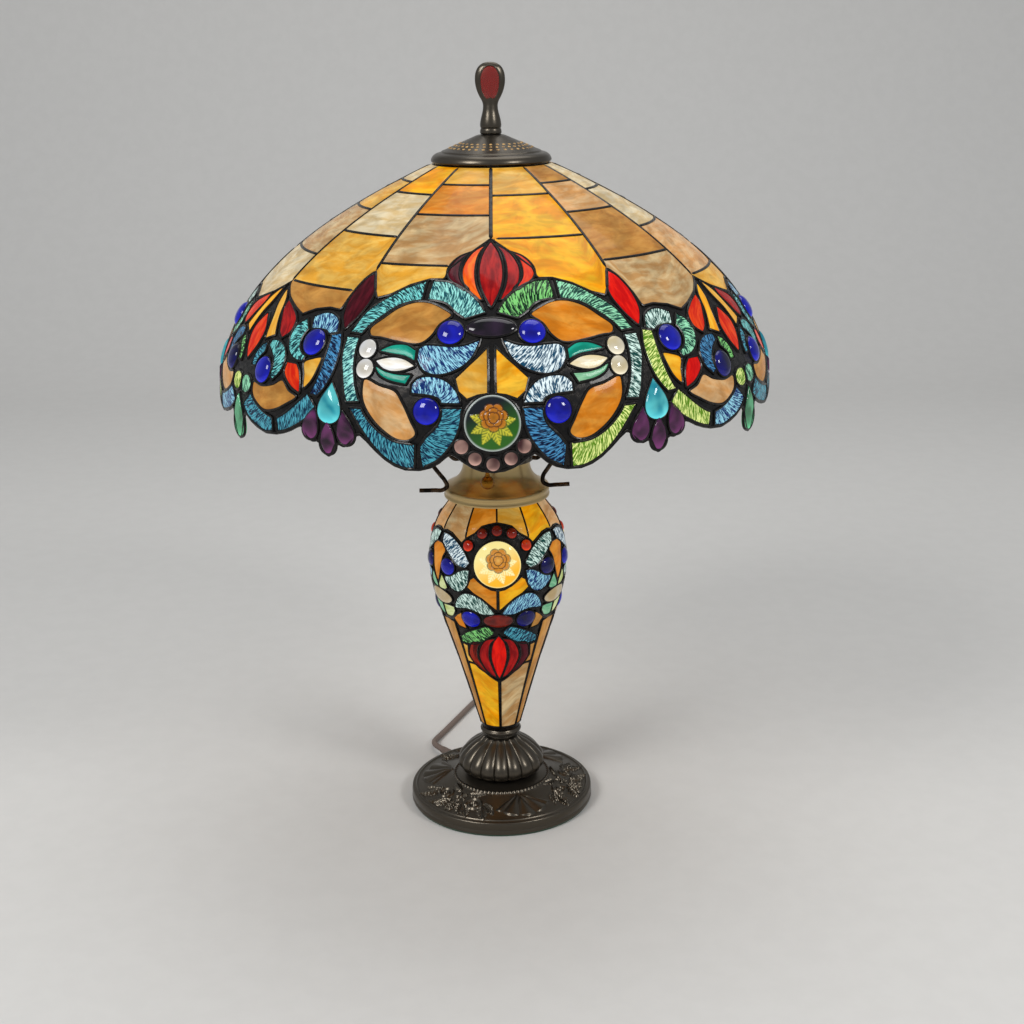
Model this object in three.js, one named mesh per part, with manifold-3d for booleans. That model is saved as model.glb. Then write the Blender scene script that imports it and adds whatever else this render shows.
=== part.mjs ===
// Double-lit leaded glass table lamp: a domed shade on a mosaic glass urn, on a round cast base.
// Units are millimetres, +Z is up, and the lamp's front faces -Y. The origin is on the table,
// under the middle of the base. Every piece is one closed body with its own name.
import * as THREE from 'three';
import { mergeVertices } from 'three/addons/utils/BufferGeometryUtils.js';
import Module from 'manifold-3d';

const wasm = await Module();
wasm.setup();

// ---------------------------------------------------------------- driving dimensions
const GAP = 0.3;                 // seam between pieces that touch
const RUNNING_CLEARANCE = 0.4;   // radial play of anything that turns on, or slides over, a rod

// base
const FELT_RADIUS = 80.2;
const FELT_THICKNESS = 1.5;
const BASE_RADIUS = 81.9;        // at the foot of the plate
const BASE_EDGE_DRAFT = 0.8;     // the rim leans in by this much at its top
const BASE_EDGE_HEIGHT = 13;     // top of the rim above the table
const BASE_CROWN_HEIGHT = 27;    // top of the plate, where the dome stands
const BASE_CROWN_RADIUS = 28;
const NUT_RECESS_RADIUS = 20;
const NUT_RECESS_TOP = 11;
const NUT_ACROSS_FLATS = 17;
const NUT_HEIGHT = 5.5;
const WASHER_RADIUS = 15;
const WASHER_THICKNESS = 1.6;
const DOME_RADIUS = 38.8;        // over the crests of the lobes
const DOME_HEIGHT = 33;
const DOME_WALL = 5;
const LOBE_COUNT = 18;
const LOBE_DEPTH = 2.6;
const COLLAR_NECK_RADIUS = 13.5;
const COLLAR_RING_RADIUS = 18.4;
const COLLAR_HEIGHT = 9;

// rods
const ROD_RADIUS = 5;
const ROD_BORE_RADIUS = 3;
const ROD_END_ABOVE_TABLE = 2.3;
const FINIAL_STUD_RADIUS = 3;

// urn
const URN_WALL = 3;
const URN_HEIGHT = 219.5;        // foot of the glass to its top edge, inside the cap
const URN_WIDEST_RADIUS = 60.3;
const URN_PANEL_COUNT = 6;
const URN_SEAT_HEIGHT = 5;
const URN_TOP_PLATE_THICKNESS = 2;
const CAP_RIM_RADIUS = 45.3;
const CAP_RIM_HEIGHT = 8;
const CAP_NECK_RADIUS = 28.5;
const CAP_WALL = 1.5;
const CAP_HEIGHT = 32;

// lights
const PLATE_RADIUS = 32.5;
const PLATE_THICKNESS = 5.5;
const CLUSTER_RADIUS = 22;
const CLUSTER_HEIGHT = 25;
const SOCKET_TILT_DEG = 35;      // each socket points up and out by this angle
const SOCKET_RADIUS = 17;
const SOCKET_WALL = 2;
const SOCKET_LENGTH = 45;
const SOCKET_FLOOR = 12;
const ARM_RADIUS = 6;
const ARM_LENGTH = 8;
const BULB_RADIUS = 30;
const BULB_LENGTH = 85;          // glass beyond the socket's mouth
const BULB_SCREW_RADIUS = 12.9;
const BULB_SCREW_LENGTH = 26;
const PULL_SIDE_OFFSET = 7;      // the chain hangs this far to the side of the socket's middle
const PULL_FORWARD = 58;         // and this far from the lamp's axis
const PULL_BALL_RADIUS = 5.75;
const PULL_BALL_DROP = 23.7;     // centre of the ball below the middle of the cluster
const PULL_CHAIN_RADIUS = 1.3;
const WIRE_RADIUS = 1.85;
const NIGHT_SOCKET_RADIUS = 9;
const NIGHT_SOCKET_HEIGHT = 32;
const NIGHT_BULB_RADIUS = 13;
const NIGHT_BULB_LENGTH = 42;
const NIGHT_LIGHT_SHARE = 0.465; // foot of the night light's socket, as a share of the urn's height
const NIGHT_LIGHT_OFFSET = 20;   // its distance from the rod's middle

// shade
const SHADE_TOP_RADIUS = 47;
const SHADE_TOP_ABOVE_LIGHTS = 230.5;   // from the middle of the cluster
const SHADE_RADIUS = 229;
const SHADE_WIDEST_ABOVE_LIGHTS = 42.5;
const SHADE_SKIRT = 14;          // nearly upright band under the widest level
const SHADE_WALL = 3;
const SHADE_REPEATS = 3;
const COLUMN_DEG = 31.6;         // angle of the wider columns; the others fill the repeat
const SHADE_MEDALLION_RADIUS = 20.5;
const SHADE_MEDALLION_DOWN = 251.5;
const MEDALLION_RISE = 4;
const RING_WIDTH = 7;
const RING_THICKNESS = 3.5;
const SUPPORT_RADIUS = SHADE_TOP_RADIUS - 5;
const SUPPORT_THICKNESS = 3;
const VENT_RIM_RADIUS = SHADE_TOP_RADIUS + 1.9;
const VENT_ROLL_RADIUS = 2.6;
const VENT_HEIGHT = 21;
const VENT_WALL = 1.2;

// finial
const FINIAL_HEIGHT = 55.8;
const FINIAL_HALF_WIDTH = 12.1;
const FINIAL_FLATTENING = 0.42;  // thickness of the spoon as a share of its width
const FINIAL_FOOT_RADIUS = 8.6;
const FINIAL_BORE_DEPTH = 13;
const FINIAL_GLASS_HALF_WIDTH = 6.6;
const FINIAL_GLASS_HALF_HEIGHT = 12.6;
const FINIAL_GLASS_LEVEL = 39;   // middle of the glass above the finial's foot

// cord
const CORD_RADIUS = 2.75;
const CORD_EXIT_DEG = 36;        // from straight back towards the left
const CORD_EXIT_HEIGHT = 7;
const RELIEF_LENGTH = 16;
const RELIEF_RADIUS = 4.4;
const RELIEF_TIP_RADIUS = 3.2;
const COIL_CENTRE = [-4, 372];
const COIL_INNER_RADIUS = 19.25;
const COIL_OUTER_RADIUS = 44;
const COIL_HEIGHT = 4 * CORD_RADIUS;
const PLUG_WIDTH = 25;
const PLUG_THICKNESS = 14;
const PLUG_LENGTH = 32;
const PLUG_NECK_LENGTH = 12;
const PLUG_NECK_WIDTH = 10;
const PLUG_AT = [23.6, 395.1];   // where the cord enters it, on top of the coil
const PLUG_TURN_DEG = 160;
const BLADE_LENGTH = 17;
const BLADE_WIDTH = 6.3;
const BLADE_THICKNESS = 1.5;
const BLADE_SPACING = 12.7;

// ---------------------------------------------------------------- levels that follow from them
const BASE_BOTTOM = FELT_THICKNESS + GAP;
const DOME_BOTTOM = BASE_CROWN_HEIGHT + GAP;
const DOME_TOP = DOME_BOTTOM + DOME_HEIGHT;
const COLLAR_BOTTOM = DOME_TOP + GAP;
const COLLAR_TOP = COLLAR_BOTTOM + COLLAR_HEIGHT;
const URN_BOTTOM = COLLAR_TOP + GAP;
const URN_TOP = URN_BOTTOM + URN_HEIGHT;
const CAP_BOTTOM = URN_TOP - 2.5;
const CAP_TOP = CAP_BOTTOM + CAP_HEIGHT;
const PLATE_BOTTOM = CAP_TOP + GAP;
const CLUSTER_BOTTOM = PLATE_BOTTOM + PLATE_THICKNESS + GAP;
const CLUSTER_MIDDLE = CLUSTER_BOTTOM + CLUSTER_HEIGHT / 2;
const BORE_RADIUS = ROD_RADIUS + RUNNING_CLEARANCE;
const PULL_BALL_HEIGHT = CLUSTER_MIDDLE - PULL_BALL_DROP;
const NIGHT_LIGHT_LEVEL = URN_BOTTOM + URN_HEIGHT * NIGHT_LIGHT_SHARE;
const SHADE_TOP_HEIGHT = CLUSTER_MIDDLE + SHADE_TOP_ABOVE_LIGHTS;
const SHADE_WIDEST_HEIGHT = CLUSTER_MIDDLE + SHADE_WIDEST_ABOVE_LIGHTS;
const VENT_BOTTOM = SHADE_TOP_HEIGHT + GAP;
const VENT_TOP = VENT_BOTTOM + VENT_HEIGHT;
const FINIAL_BOTTOM = VENT_TOP + GAP;
const SHADE_PANEL_DEG = 360 / SHADE_REPEATS / 2 - COLUMN_DEG;

// ---------------------------------------------------------------- finishes
const finish = (color, roughness, metalness) => ({ color, roughness, metalness });
const BRONZE = finish(0x3a2f26, 0.42, 0.85);
const BRASS = finish(0xb98a3a, 0.3, 0.95);
const STEEL = finish(0x8e8f92, 0.4, 0.9);
const FELT = finish(0x2f4a34, 0.95, 0);
const AMBER_GLASS = finish(0xe0a64e, 0.18, 0);
const BLUE_GLASS = finish(0x2f7f94, 0.2, 0);
const YELLOW_GLASS = finish(0xefe08a, 0.15, 0);
const RED_GLASS = finish(0x8d1414, 0.12, 0);
const BULB_GLASS = finish(0xf6efe0, 0.3, 0);
const SOCKET_SHELL = finish(0x6d5a35, 0.4, 0.8);
const CORD_PLASTIC = finish(0x6b5a4c, 0.6, 0);

// ---------------------------------------------------------------- helpers
const lamp = new THREE.Group();
const deg = THREE.MathUtils.degToRad;
const v2 = (x, y) => new THREE.Vector2(x, y);

// Merges a geometry to bare shared corners, drops flat triangles and turns its faces outwards.
function closed(geometry) {
  const bare = geometry.clone();
  bare.deleteAttribute('normal');
  bare.deleteAttribute('uv');
  const merged = mergeVertices(bare, 1e-4);
  const position = merged.attributes.position;
  const corner = [new THREE.Vector3(), new THREE.Vector3(), new THREE.Vector3()];
  const kept = [];
  let volume = 0;
  for (let i = 0; i < merged.index.count; i += 3) {
    const ids = [0, 1, 2].map((k) => merged.index.getX(i + k));
    if (new Set(ids).size < 3) continue;
    ids.forEach((id, k) => corner[k].fromBufferAttribute(position, id));
    volume += corner[0].dot(corner[1].clone().cross(corner[2]));
    kept.push(...ids);
  }
  if (volume < 0) {
    for (let i = 0; i < kept.length; i += 3) [kept[i], kept[i + 1]] = [kept[i + 1], kept[i]];
  }
  merged.setIndex(kept);
  return merged;
}

function add(name, geometry, look) {
  const mesh = new THREE.Mesh(closed(geometry), new THREE.MeshStandardMaterial(look));
  mesh.name = name;
  lamp.add(mesh);
  return mesh;
}

// A closed outline of [radius, height] pairs turned about the lamp's axis. An outline that does
// not touch the axis is joined back to its start.
function turned(points, segments = 32) {
  const onAxis = points[0][0] === 0 && points[points.length - 1][0] === 0;
  const loop = onAxis ? points : [...points, points[0]];
  const geometry = new THREE.LatheGeometry(loop.map(([r, z]) => v2(r, z)), segments);
  return geometry.rotateX(Math.PI / 2);
}

// The outline of a thin turned shell: the outer line, then the same line moved inwards.
function shellOutline(outer, wall) {
  const inner = outer.map(([r, z], i) => {
    const [r0, z0] = outer[Math.max(i - 1, 0)];
    const [r1, z1] = outer[Math.min(i + 1, outer.length - 1)];
    const length = Math.hypot(r1 - r0, z1 - z0);
    return [r - (wall * (z1 - z0)) / length, z + (wall * (r1 - r0)) / length];
  });
  return [...outer, ...inner.reverse()];
}

function toManifold(geometry) {
  const mesh = closed(geometry);
  return new wasm.Manifold(new wasm.Mesh({
    numProp: 3,
    vertProperties: new Float32Array(mesh.attributes.position.array),
    triVerts: new Uint32Array(mesh.index.array),
  }));
}

function fromManifold(solid) {
  const { vertProperties, triVerts } = solid.getMesh();
  const geometry = new THREE.BufferGeometry();
  geometry.setAttribute('position', new THREE.BufferAttribute(vertProperties, 3));
  geometry.setIndex(new THREE.BufferAttribute(triVerts, 1));
  return geometry;
}

// A wall of revolution described by a curve of (radius, height): the point at an angle from the
// front, a distance down the wall and a height off it, and the wall's radius at that distance.
class TurnedWall {
  constructor(curve) {
    this.curve = curve;
    this.length = curve.getLength();
  }

  radiusAt(down) {
    return this.curve.getPointAt(Math.min(Math.max(down / this.length, 0), 1)).x;
  }

  point(angle, down, off) {
    const u = Math.min(Math.max(down / this.length, 0), 1);
    const at = this.curve.getPointAt(u);
    const along = this.curve.getTangentAt(u);
    const radius = at.x - along.y * off;
    const height = at.y + along.x * off;
    return new THREE.Vector3(radius * Math.sin(angle), -radius * Math.cos(angle), height);
  }

  // A curved panel between two angles, from one level down to a lower edge given by a function.
  panel(fromDeg, toDeg, top, lowerEdge, wall, columns, rows) {
    const box = new THREE.BoxGeometry(1, 1, 1, columns, rows, 1);
    const position = box.attributes.position;
    for (let i = 0; i < position.count; i += 1) {
      const share = position.getX(i) + 0.5;
      const angleDeg = fromDeg + (toDeg - fromDeg) * share;
      const down = top + (lowerEdge(angleDeg) - top) * (0.5 - position.getY(i));
      const seam = (GAP / 2 / (this.radiusAt(down) - wall)) * (1 - 2 * share);
      const off = (position.getZ(i) - 0.5) * wall;
      const p = this.point(deg(angleDeg) + seam, down, off);
      position.setXYZ(i, p.x, p.y, p.z);
    }
    return box;
  }

  // A low round dome laid on the wall, with its flat side against it.
  boss(angleDeg, down, radius, rise) {
    const side = rise * 0.35;
    const profile = [v2(0, 0), v2(radius / 2, 0), v2(radius, 0), v2(radius, side)];
    for (let k = 1; k <= 3; k += 1) {
      const turn = (k / 3) * (Math.PI / 2);
      profile.push(v2(k === 3 ? 0 : radius * Math.cos(turn), side + (rise - side) * Math.sin(turn)));
    }
    const dome = new THREE.LatheGeometry(profile, 20).rotateX(Math.PI / 2);
    const position = dome.attributes.position;
    for (let i = 0; i < position.count; i += 1) {
      const level = down - position.getY(i);
      const angle = deg(angleDeg) + position.getX(i) / this.radiusAt(level);
      const p = this.point(angle, level, GAP + position.getZ(i));
      position.setXYZ(i, p.x, p.y, p.z);
    }
    return dome;
  }
}

function pipe(bottom, top, outer = ROD_RADIUS, bore = ROD_BORE_RADIUS, segments = 20) {
  return turned([[bore, bottom], [outer, bottom], [outer, top], [bore, top]], segments);
}

// A round bar swept along a smooth curve through the given points.
function sweptBar(points, radius, steps, sides = 8) {
  const curve = new THREE.CatmullRomCurve3(points.map((p) => new THREE.Vector3(...p)), false,
    'centripetal');
  const section = new THREE.Shape();
  for (let k = 0; k < sides; k += 1) {
    const turn = (k / sides) * 2 * Math.PI;
    const corner = [radius * Math.cos(turn), radius * Math.sin(turn)];
    if (k === 0) section.moveTo(...corner);
    else section.lineTo(...corner);
  }
  section.closePath();
  return new THREE.ExtrudeGeometry(section, { steps, extrudePath: curve, bevelEnabled: false });
}

// ---------------------------------------------------------------- base
function buildBase() {
  add('base_felt', turned([[0, 0], [FELT_RADIUS, 0], [FELT_RADIUS, FELT_THICKNESS],
    [0, FELT_THICKNESS]], 48), FELT);

  const rimTop = BASE_RADIUS - BASE_EDGE_DRAFT;
  const rise = BASE_CROWN_HEIGHT - BASE_EDGE_HEIGHT;
  const run = rimTop - BASE_CROWN_RADIUS;
  const surface = [1, 0.95, 0.65, 0.35, 0.15, 0].map((share) => [
    BASE_CROWN_RADIUS + run * share,
    BASE_EDGE_HEIGHT + rise * (1 - share) ** 1.35,
  ]);
  add('base_plate', turned([
    [BORE_RADIUS, NUT_RECESS_TOP],
    [NUT_RECESS_RADIUS, NUT_RECESS_TOP],
    [NUT_RECESS_RADIUS, BASE_BOTTOM],
    [BASE_RADIUS - 1, BASE_BOTTOM],
    [BASE_RADIUS, BASE_BOTTOM + 1],
    ...surface,
    [BORE_RADIUS, BASE_CROWN_HEIGHT],
  ], 44), BRONZE);

  const domeLine = [
    [0.7, 0], [0.88, 0.06], [1, 0.24], [0.97, 0.42], [0.84, 0.62], [0.64, 0.82], [0.42, 1],
  ].map(([r, z]) => [DOME_RADIUS * r, DOME_BOTTOM + DOME_HEIGHT * z]);
  const dome = turned([
    ...domeLine,
    [BORE_RADIUS, DOME_TOP],
    [BORE_RADIUS, DOME_TOP - DOME_WALL],
    [DOME_RADIUS * 0.42, DOME_TOP - DOME_WALL * 1.6],
    [DOME_RADIUS - DOME_WALL - LOBE_DEPTH, DOME_BOTTOM + DOME_HEIGHT * 0.3],
    [DOME_RADIUS * 0.7 - DOME_WALL, DOME_BOTTOM],
  ], LOBE_COUNT * 3);
  lobed(dome);
  add('base_dome', dome, BRONZE);

  const ringMiddle = COLLAR_TOP - 2.4;
  add('collar', turned([
    [BORE_RADIUS, COLLAR_BOTTOM],
    [COLLAR_NECK_RADIUS, COLLAR_BOTTOM],
    [COLLAR_NECK_RADIUS, ringMiddle - 2.4],
    [COLLAR_RING_RADIUS - 1.2, ringMiddle - 1.8],
    [COLLAR_RING_RADIUS, ringMiddle],
    [COLLAR_RING_RADIUS - 0.6, ringMiddle + 1.6],
    [COLLAR_RING_RADIUS - 1.6, COLLAR_TOP],
    [BORE_RADIUS, COLLAR_TOP],
  ], 32), BRONZE);

  const washerBottom = NUT_RECESS_TOP - GAP - WASHER_THICKNESS;
  add('base_washer', pipe(washerBottom, NUT_RECESS_TOP - GAP, WASHER_RADIUS, BORE_RADIUS, 24), STEEL);
  const nutTop = washerBottom - GAP;
  const nutCorner = NUT_ACROSS_FLATS / 2 / Math.cos(Math.PI / 6);
  const blank = new THREE.CylinderGeometry(nutCorner, nutCorner, NUT_HEIGHT, 6);
  const thread = new THREE.CylinderGeometry(BORE_RADIUS, BORE_RADIUS, 2 * NUT_HEIGHT, 20);
  const nut = fromManifold(toManifold(blank).subtract(toManifold(thread)));
  add('base_nut', nut.rotateX(Math.PI / 2).translate(0, 0, nutTop - NUT_HEIGHT / 2), STEEL);
}

// Pulls the outside of a turned dome in between its lobes, most where the dome is widest.
function lobed(geometry) {
  const position = geometry.attributes.position;
  for (let i = 0; i < position.count; i += 1) {
    const [x, y] = [position.getX(i), position.getY(i)];
    const radius = Math.hypot(x, y);
    const outside = radius > DOME_RADIUS * 0.62 && position.getZ(i) > DOME_BOTTOM + 0.5;
    const wide = (radius - DOME_RADIUS * 0.62) / (DOME_RADIUS * 0.38);
    if (!outside) continue;
    const valley = 1 - Math.abs(Math.cos((Math.atan2(y, x) * LOBE_COUNT) / 2));
    const pull = 1 - (LOBE_DEPTH * Math.min(wide, 1) * valley) / radius;
    position.setX(i, x * pull);
    position.setY(i, y * pull);
  }
}

// ---------------------------------------------------------------- rods
function buildRods() {
  const joint = CLUSTER_MIDDLE;
  add('lower_rod', pipe(ROD_END_ABOVE_TABLE, joint - GAP / 2), STEEL);
  const shoulder = VENT_TOP - 2;
  const studTop = FINIAL_BOTTOM + FINIAL_BORE_DEPTH - 1;
  add('upper_rod', turned([
    [0, joint + GAP / 2],
    [ROD_RADIUS, joint + GAP / 2],
    [ROD_RADIUS, shoulder],
    [FINIAL_STUD_RADIUS, shoulder],
    [FINIAL_STUD_RADIUS, studTop],
    [0, studTop],
  ], 20), STEEL);
}

// ---------------------------------------------------------------- urn
// The urn's outer line from its top edge down to its foot, as (radius, height).
function urnWall() {
  const shares = [
    [0.6, 1], [0.69, 0.968], [0.835, 0.909], [0.94, 0.84], [1, 0.745], [0.986, 0.672],
    [0.88, 0.545], [0.672, 0.364], [0.47, 0.182], [0.286, 0],
  ];
  return new TurnedWall(new THREE.SplineCurve(shares.map(([r, z]) => v2(
    URN_WIDEST_RADIUS * r, URN_BOTTOM + URN_HEIGHT * z))));
}

function buildUrn() {
  const wall = urnWall();
  const step = 360 / URN_PANEL_COUNT;
  for (let k = 0; k < URN_PANEL_COUNT; k += 1) {
    const panel = wall.panel(k * step, (k + 1) * step, 0, () => wall.length, URN_WALL, 5, 12);
    add(`urn_panel_${k + 1}`, panel, k % 2 ? BLUE_GLASS : AMBER_GLASS);
  }
  const footRadius = wall.radiusAt(wall.length) - URN_WALL - GAP - 0.6;
  add('urn_seat', pipe(COLLAR_TOP + GAP, COLLAR_TOP + GAP + URN_SEAT_HEIGHT, footRadius, BORE_RADIUS,
    28), BRASS);
  const mouthRadius = wall.radiusAt(0) - URN_WALL - 1.5;
  add('urn_top_plate', pipe(URN_TOP - URN_TOP_PLATE_THICKNESS, URN_TOP, mouthRadius, BORE_RADIUS,
    28), BRASS);

  const flare = CAP_RIM_RADIUS - CAP_NECK_RADIUS;
  const shoulder = [[0.744, 0.331], [0.446, 0.437], [0.196, 0.581], [0.048, 0.762], [0, 1]]
    .map(([r, z]) => [CAP_NECK_RADIUS + flare * r, CAP_HEIGHT * z]);
  const outer = [
    [CAP_RIM_RADIUS, 0], [CAP_RIM_RADIUS + 0.2, CAP_RIM_HEIGHT * 0.9],
    [CAP_RIM_RADIUS - 1.4, CAP_RIM_HEIGHT * 1.12], ...shoulder,
  ].map(([r, z]) => [r, CAP_BOTTOM + z]);
  const inner = shellOutline(outer, CAP_WALL).slice(outer.length);
  add('urn_cap', turned([
    ...outer,
    [BORE_RADIUS, CAP_TOP],
    [BORE_RADIUS, CAP_TOP - CAP_WALL],
    [CAP_NECK_RADIUS - CAP_WALL, CAP_TOP - CAP_WALL],
    ...inner.slice(1),
  ], 28), BRASS);
}

// ---------------------------------------------------------------- night light inside the urn
function buildNightLight() {
  const top = NIGHT_LIGHT_LEVEL + NIGHT_SOCKET_HEIGHT;
  const bracketHigh = NIGHT_LIGHT_LEVEL - GAP;
  const bracket = toManifold(new THREE.BoxGeometry(NIGHT_LIGHT_OFFSET + 26, 16, 2)
    .translate(NIGHT_LIGHT_OFFSET / 2, 0, bracketHigh - 1));
  const hole = toManifold(new THREE.CylinderGeometry(BORE_RADIUS, BORE_RADIUS, 10, 20)
    .rotateX(Math.PI / 2).translate(0, 0, bracketHigh));
  add('night_bracket', fromManifold(bracket.subtract(hole)), STEEL);
  add('night_socket', turned([[0, NIGHT_LIGHT_LEVEL], [NIGHT_SOCKET_RADIUS, NIGHT_LIGHT_LEVEL],
    [NIGHT_SOCKET_RADIUS, top], [0, top]], 20).translate(NIGHT_LIGHT_OFFSET, 0, 0), BULB_GLASS);
  const foot = top + GAP;
  add('night_bulb', turned([
    [0, foot], [6.5, foot], [7, foot + 6], [NIGHT_BULB_RADIUS, foot + NIGHT_BULB_LENGTH * 0.42],
    [NIGHT_BULB_RADIUS * 0.86, foot + NIGHT_BULB_LENGTH * 0.66],
    [NIGHT_BULB_RADIUS * 0.4, foot + NIGHT_BULB_LENGTH * 0.9], [0, foot + NIGHT_BULB_LENGTH],
  ], 20).translate(NIGHT_LIGHT_OFFSET, 0, 0), BULB_GLASS);
}

// ---------------------------------------------------------------- light cluster under the shade
function buildCluster() {
  add('cluster_plate', pipe(PLATE_BOTTOM, PLATE_BOTTOM + PLATE_THICKNESS, PLATE_RADIUS, BORE_RADIUS,
    28), BRONZE);
  const ball = [];
  for (let k = 0; k <= 6; k += 1) {
    const z = CLUSTER_BOTTOM + (CLUSTER_HEIGHT * k) / 6;
    ball.push([Math.sqrt(CLUSTER_RADIUS ** 2 - (z - CLUSTER_MIDDLE) ** 2), z]);
  }
  add('cluster_body', turned([...ball, [BORE_RADIUS, CLUSTER_BOTTOM + CLUSTER_HEIGHT],
    [BORE_RADIUS, CLUSTER_BOTTOM]], 24), BRONZE);

  ['front', 'back'].forEach((side, index) => buildLight(side, index * Math.PI));
}

// One light: its arm, socket and bulb along a tilted axis, and the chain that works its switch.
function buildLight(side, turn) {
  const armStart = CLUSTER_RADIUS + GAP;
  const socketStart = armStart + ARM_LENGTH + GAP;
  const socketEnd = socketStart + SOCKET_LENGTH;
  const tilt = (geometry) => geometry
    .rotateX(Math.PI / 2 - deg(SOCKET_TILT_DEG))
    .translate(0, 0, CLUSTER_MIDDLE)
    .rotateZ(turn);
  add(`socket_arm_${side}`, tilt(pipe(armStart, armStart + ARM_LENGTH, ARM_RADIUS, 4, 16)), BRONZE);
  const cup = SOCKET_RADIUS - SOCKET_WALL;
  add(`socket_${side}`, tilt(turned([
    [0, socketStart],
    [SOCKET_RADIUS * 0.7, socketStart],
    [SOCKET_RADIUS, socketStart + 8],
    [SOCKET_RADIUS, socketEnd],
    [cup, socketEnd],
    [cup, socketStart + SOCKET_FLOOR],
    [0, socketStart + SOCKET_FLOOR],
  ], 18)), SOCKET_SHELL);
  const screwStart = socketEnd - BULB_SCREW_LENGTH;
  add(`bulb_${side}`, tilt(turned([
    [0, screwStart],
    [BULB_SCREW_RADIUS, screwStart + 3],
    [BULB_SCREW_RADIUS, socketEnd + 2],
    [BULB_RADIUS * 0.55, socketEnd + BULB_LENGTH * 0.2],
    [BULB_RADIUS * 0.93, socketEnd + BULB_LENGTH * 0.44],
    [BULB_RADIUS, socketEnd + BULB_LENGTH * 0.63],
    [BULB_RADIUS * 0.86, socketEnd + BULB_LENGTH * 0.82],
    [BULB_RADIUS * 0.5, socketEnd + BULB_LENGTH * 0.96],
    [0, socketEnd + BULB_LENGTH],
  ], 18)), BULB_GLASS);

  const hang = (geometry) => geometry.translate(-PULL_SIDE_OFFSET, -PULL_FORWARD, 0).rotateZ(turn);
  const slope = Math.tan(deg(SOCKET_TILT_DEG));
  const underside = CLUSTER_MIDDLE + PULL_FORWARD * slope
    - SOCKET_RADIUS / Math.cos(deg(SOCKET_TILT_DEG));
  const ballTop = PULL_BALL_HEIGHT + PULL_BALL_RADIUS;
  const chainTop = underside - GAP - PULL_CHAIN_RADIUS * slope;
  add(`pull_chain_${side}`, hang(turned([[0, ballTop + 3 + GAP], [PULL_CHAIN_RADIUS, ballTop + 3 + GAP],
    [PULL_CHAIN_RADIUS, chainTop], [0, chainTop]], 10)), BRASS);
  const ball = [[0, PULL_BALL_HEIGHT - PULL_BALL_RADIUS]];
  for (let k = 1; k < 6; k += 1) {
    const a = -Math.PI / 2 + (k / 6) * Math.PI;
    ball.push([PULL_BALL_RADIUS * Math.cos(a), PULL_BALL_HEIGHT + PULL_BALL_RADIUS * Math.sin(a)]);
  }
  add(`pull_ball_${side}`, hang(turned([...ball, [1.8, ballTop], [1.8, ballTop + 3], [0, ballTop + 3]],
    12)), BRASS);
}

// Two bent wire arms that hang from the cluster plate, one on each side of the urn's cap.
function buildWireArms() {
  const level = PLATE_BOTTOM + PLATE_THICKNESS / 2;
  const start = PLATE_RADIUS + 2 * GAP;
  const [sx, sy] = [start * 0.94, start * -0.342];
  const bend = ([x, y, z]) => [CAP_RIM_RADIUS * x, CAP_RIM_RADIUS * y, level + z];
  const routes = {
    left: [[-sx, sy, level], [-1.1 * sx, 1.1 * sy, level], ...[
      [-0.993, -0.375, 10], [-1.203, -0.4415, 9.5], [-1.263, -0.4415, 3],
      [-1.179, -0.4415, -3.65], [-1.071, -0.4415, -10.45], [-0.96, -0.4415, -17.25],
      [-0.925, -0.4415, -21.95], [-1.004, -0.4415, -24.95], [-1.17, -0.4415, -25.25],
      [-1.446, -0.4415, -25.35],
    ].map(bend)],
    right: [[sx, sy, level], [1.1 * sx, 1.1 * sy, level], ...[
      [0.927, -0.375, 10], [1.093, -0.4415, 10.5], [1.148, -0.4415, 5],
      [1.064, -0.4415, -0.45], [0.96, -0.4415, -7.35], [0.87, -0.4415, -14.55],
      [0.874, -0.4415, -19.15], [0.962, -0.4415, -21.75], [1.115, -0.4415, -21.75],
      [1.369, -0.4415, -21.25],
    ].map(bend)],
  };
  Object.entries(routes).forEach(([side, points]) => {
    add(`wire_arm_${side}`, sweptBar(points, WIRE_RADIUS, 26, 6), BRONZE);
  });
}

// ---------------------------------------------------------------- shade
// The shade's outer line from the opening at its top down to its lower edge.
function shadeWall() {
  const path = new THREE.CurvePath();
  const widest = v2(SHADE_RADIUS, SHADE_WIDEST_HEIGHT);
  path.add(new THREE.CubicBezierCurve(
    v2(SHADE_TOP_RADIUS, SHADE_TOP_HEIGHT),
    v2(SHADE_TOP_RADIUS + (SHADE_RADIUS - SHADE_TOP_RADIUS) * 0.527,
      SHADE_WIDEST_HEIGHT + (SHADE_TOP_HEIGHT - SHADE_WIDEST_HEIGHT) * 0.771),
    v2(SHADE_RADIUS, SHADE_WIDEST_HEIGHT + (SHADE_TOP_HEIGHT - SHADE_WIDEST_HEIGHT) * 0.479),
    widest,
  ));
  path.add(new THREE.QuadraticBezierCurve(
    widest,
    v2(SHADE_RADIUS, SHADE_WIDEST_HEIGHT - SHADE_SKIRT / 2),
    v2(SHADE_RADIUS - 0.6, SHADE_WIDEST_HEIGHT - SHADE_SKIRT),
  ));
  return new TurnedWall(path);
}

// How far the lower edge stops short of the longest point, by angle within half a repeat.
const EDGE_SCALLOPS = [[0, 2.5], [4.5, 6], [8, 13], [13, 4], [16, 3.5], [20, 9], [24.5, 23],
  [28, 16], [COLUMN_DEG, 8], [35.5, 16], [38, 25], [42, 20], [48.6, 15], [54, 20], [57, 22],
  [60, 2]];
const EDGE_COLUMNS = 10;         // steps of the lower edge across each panel

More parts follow.
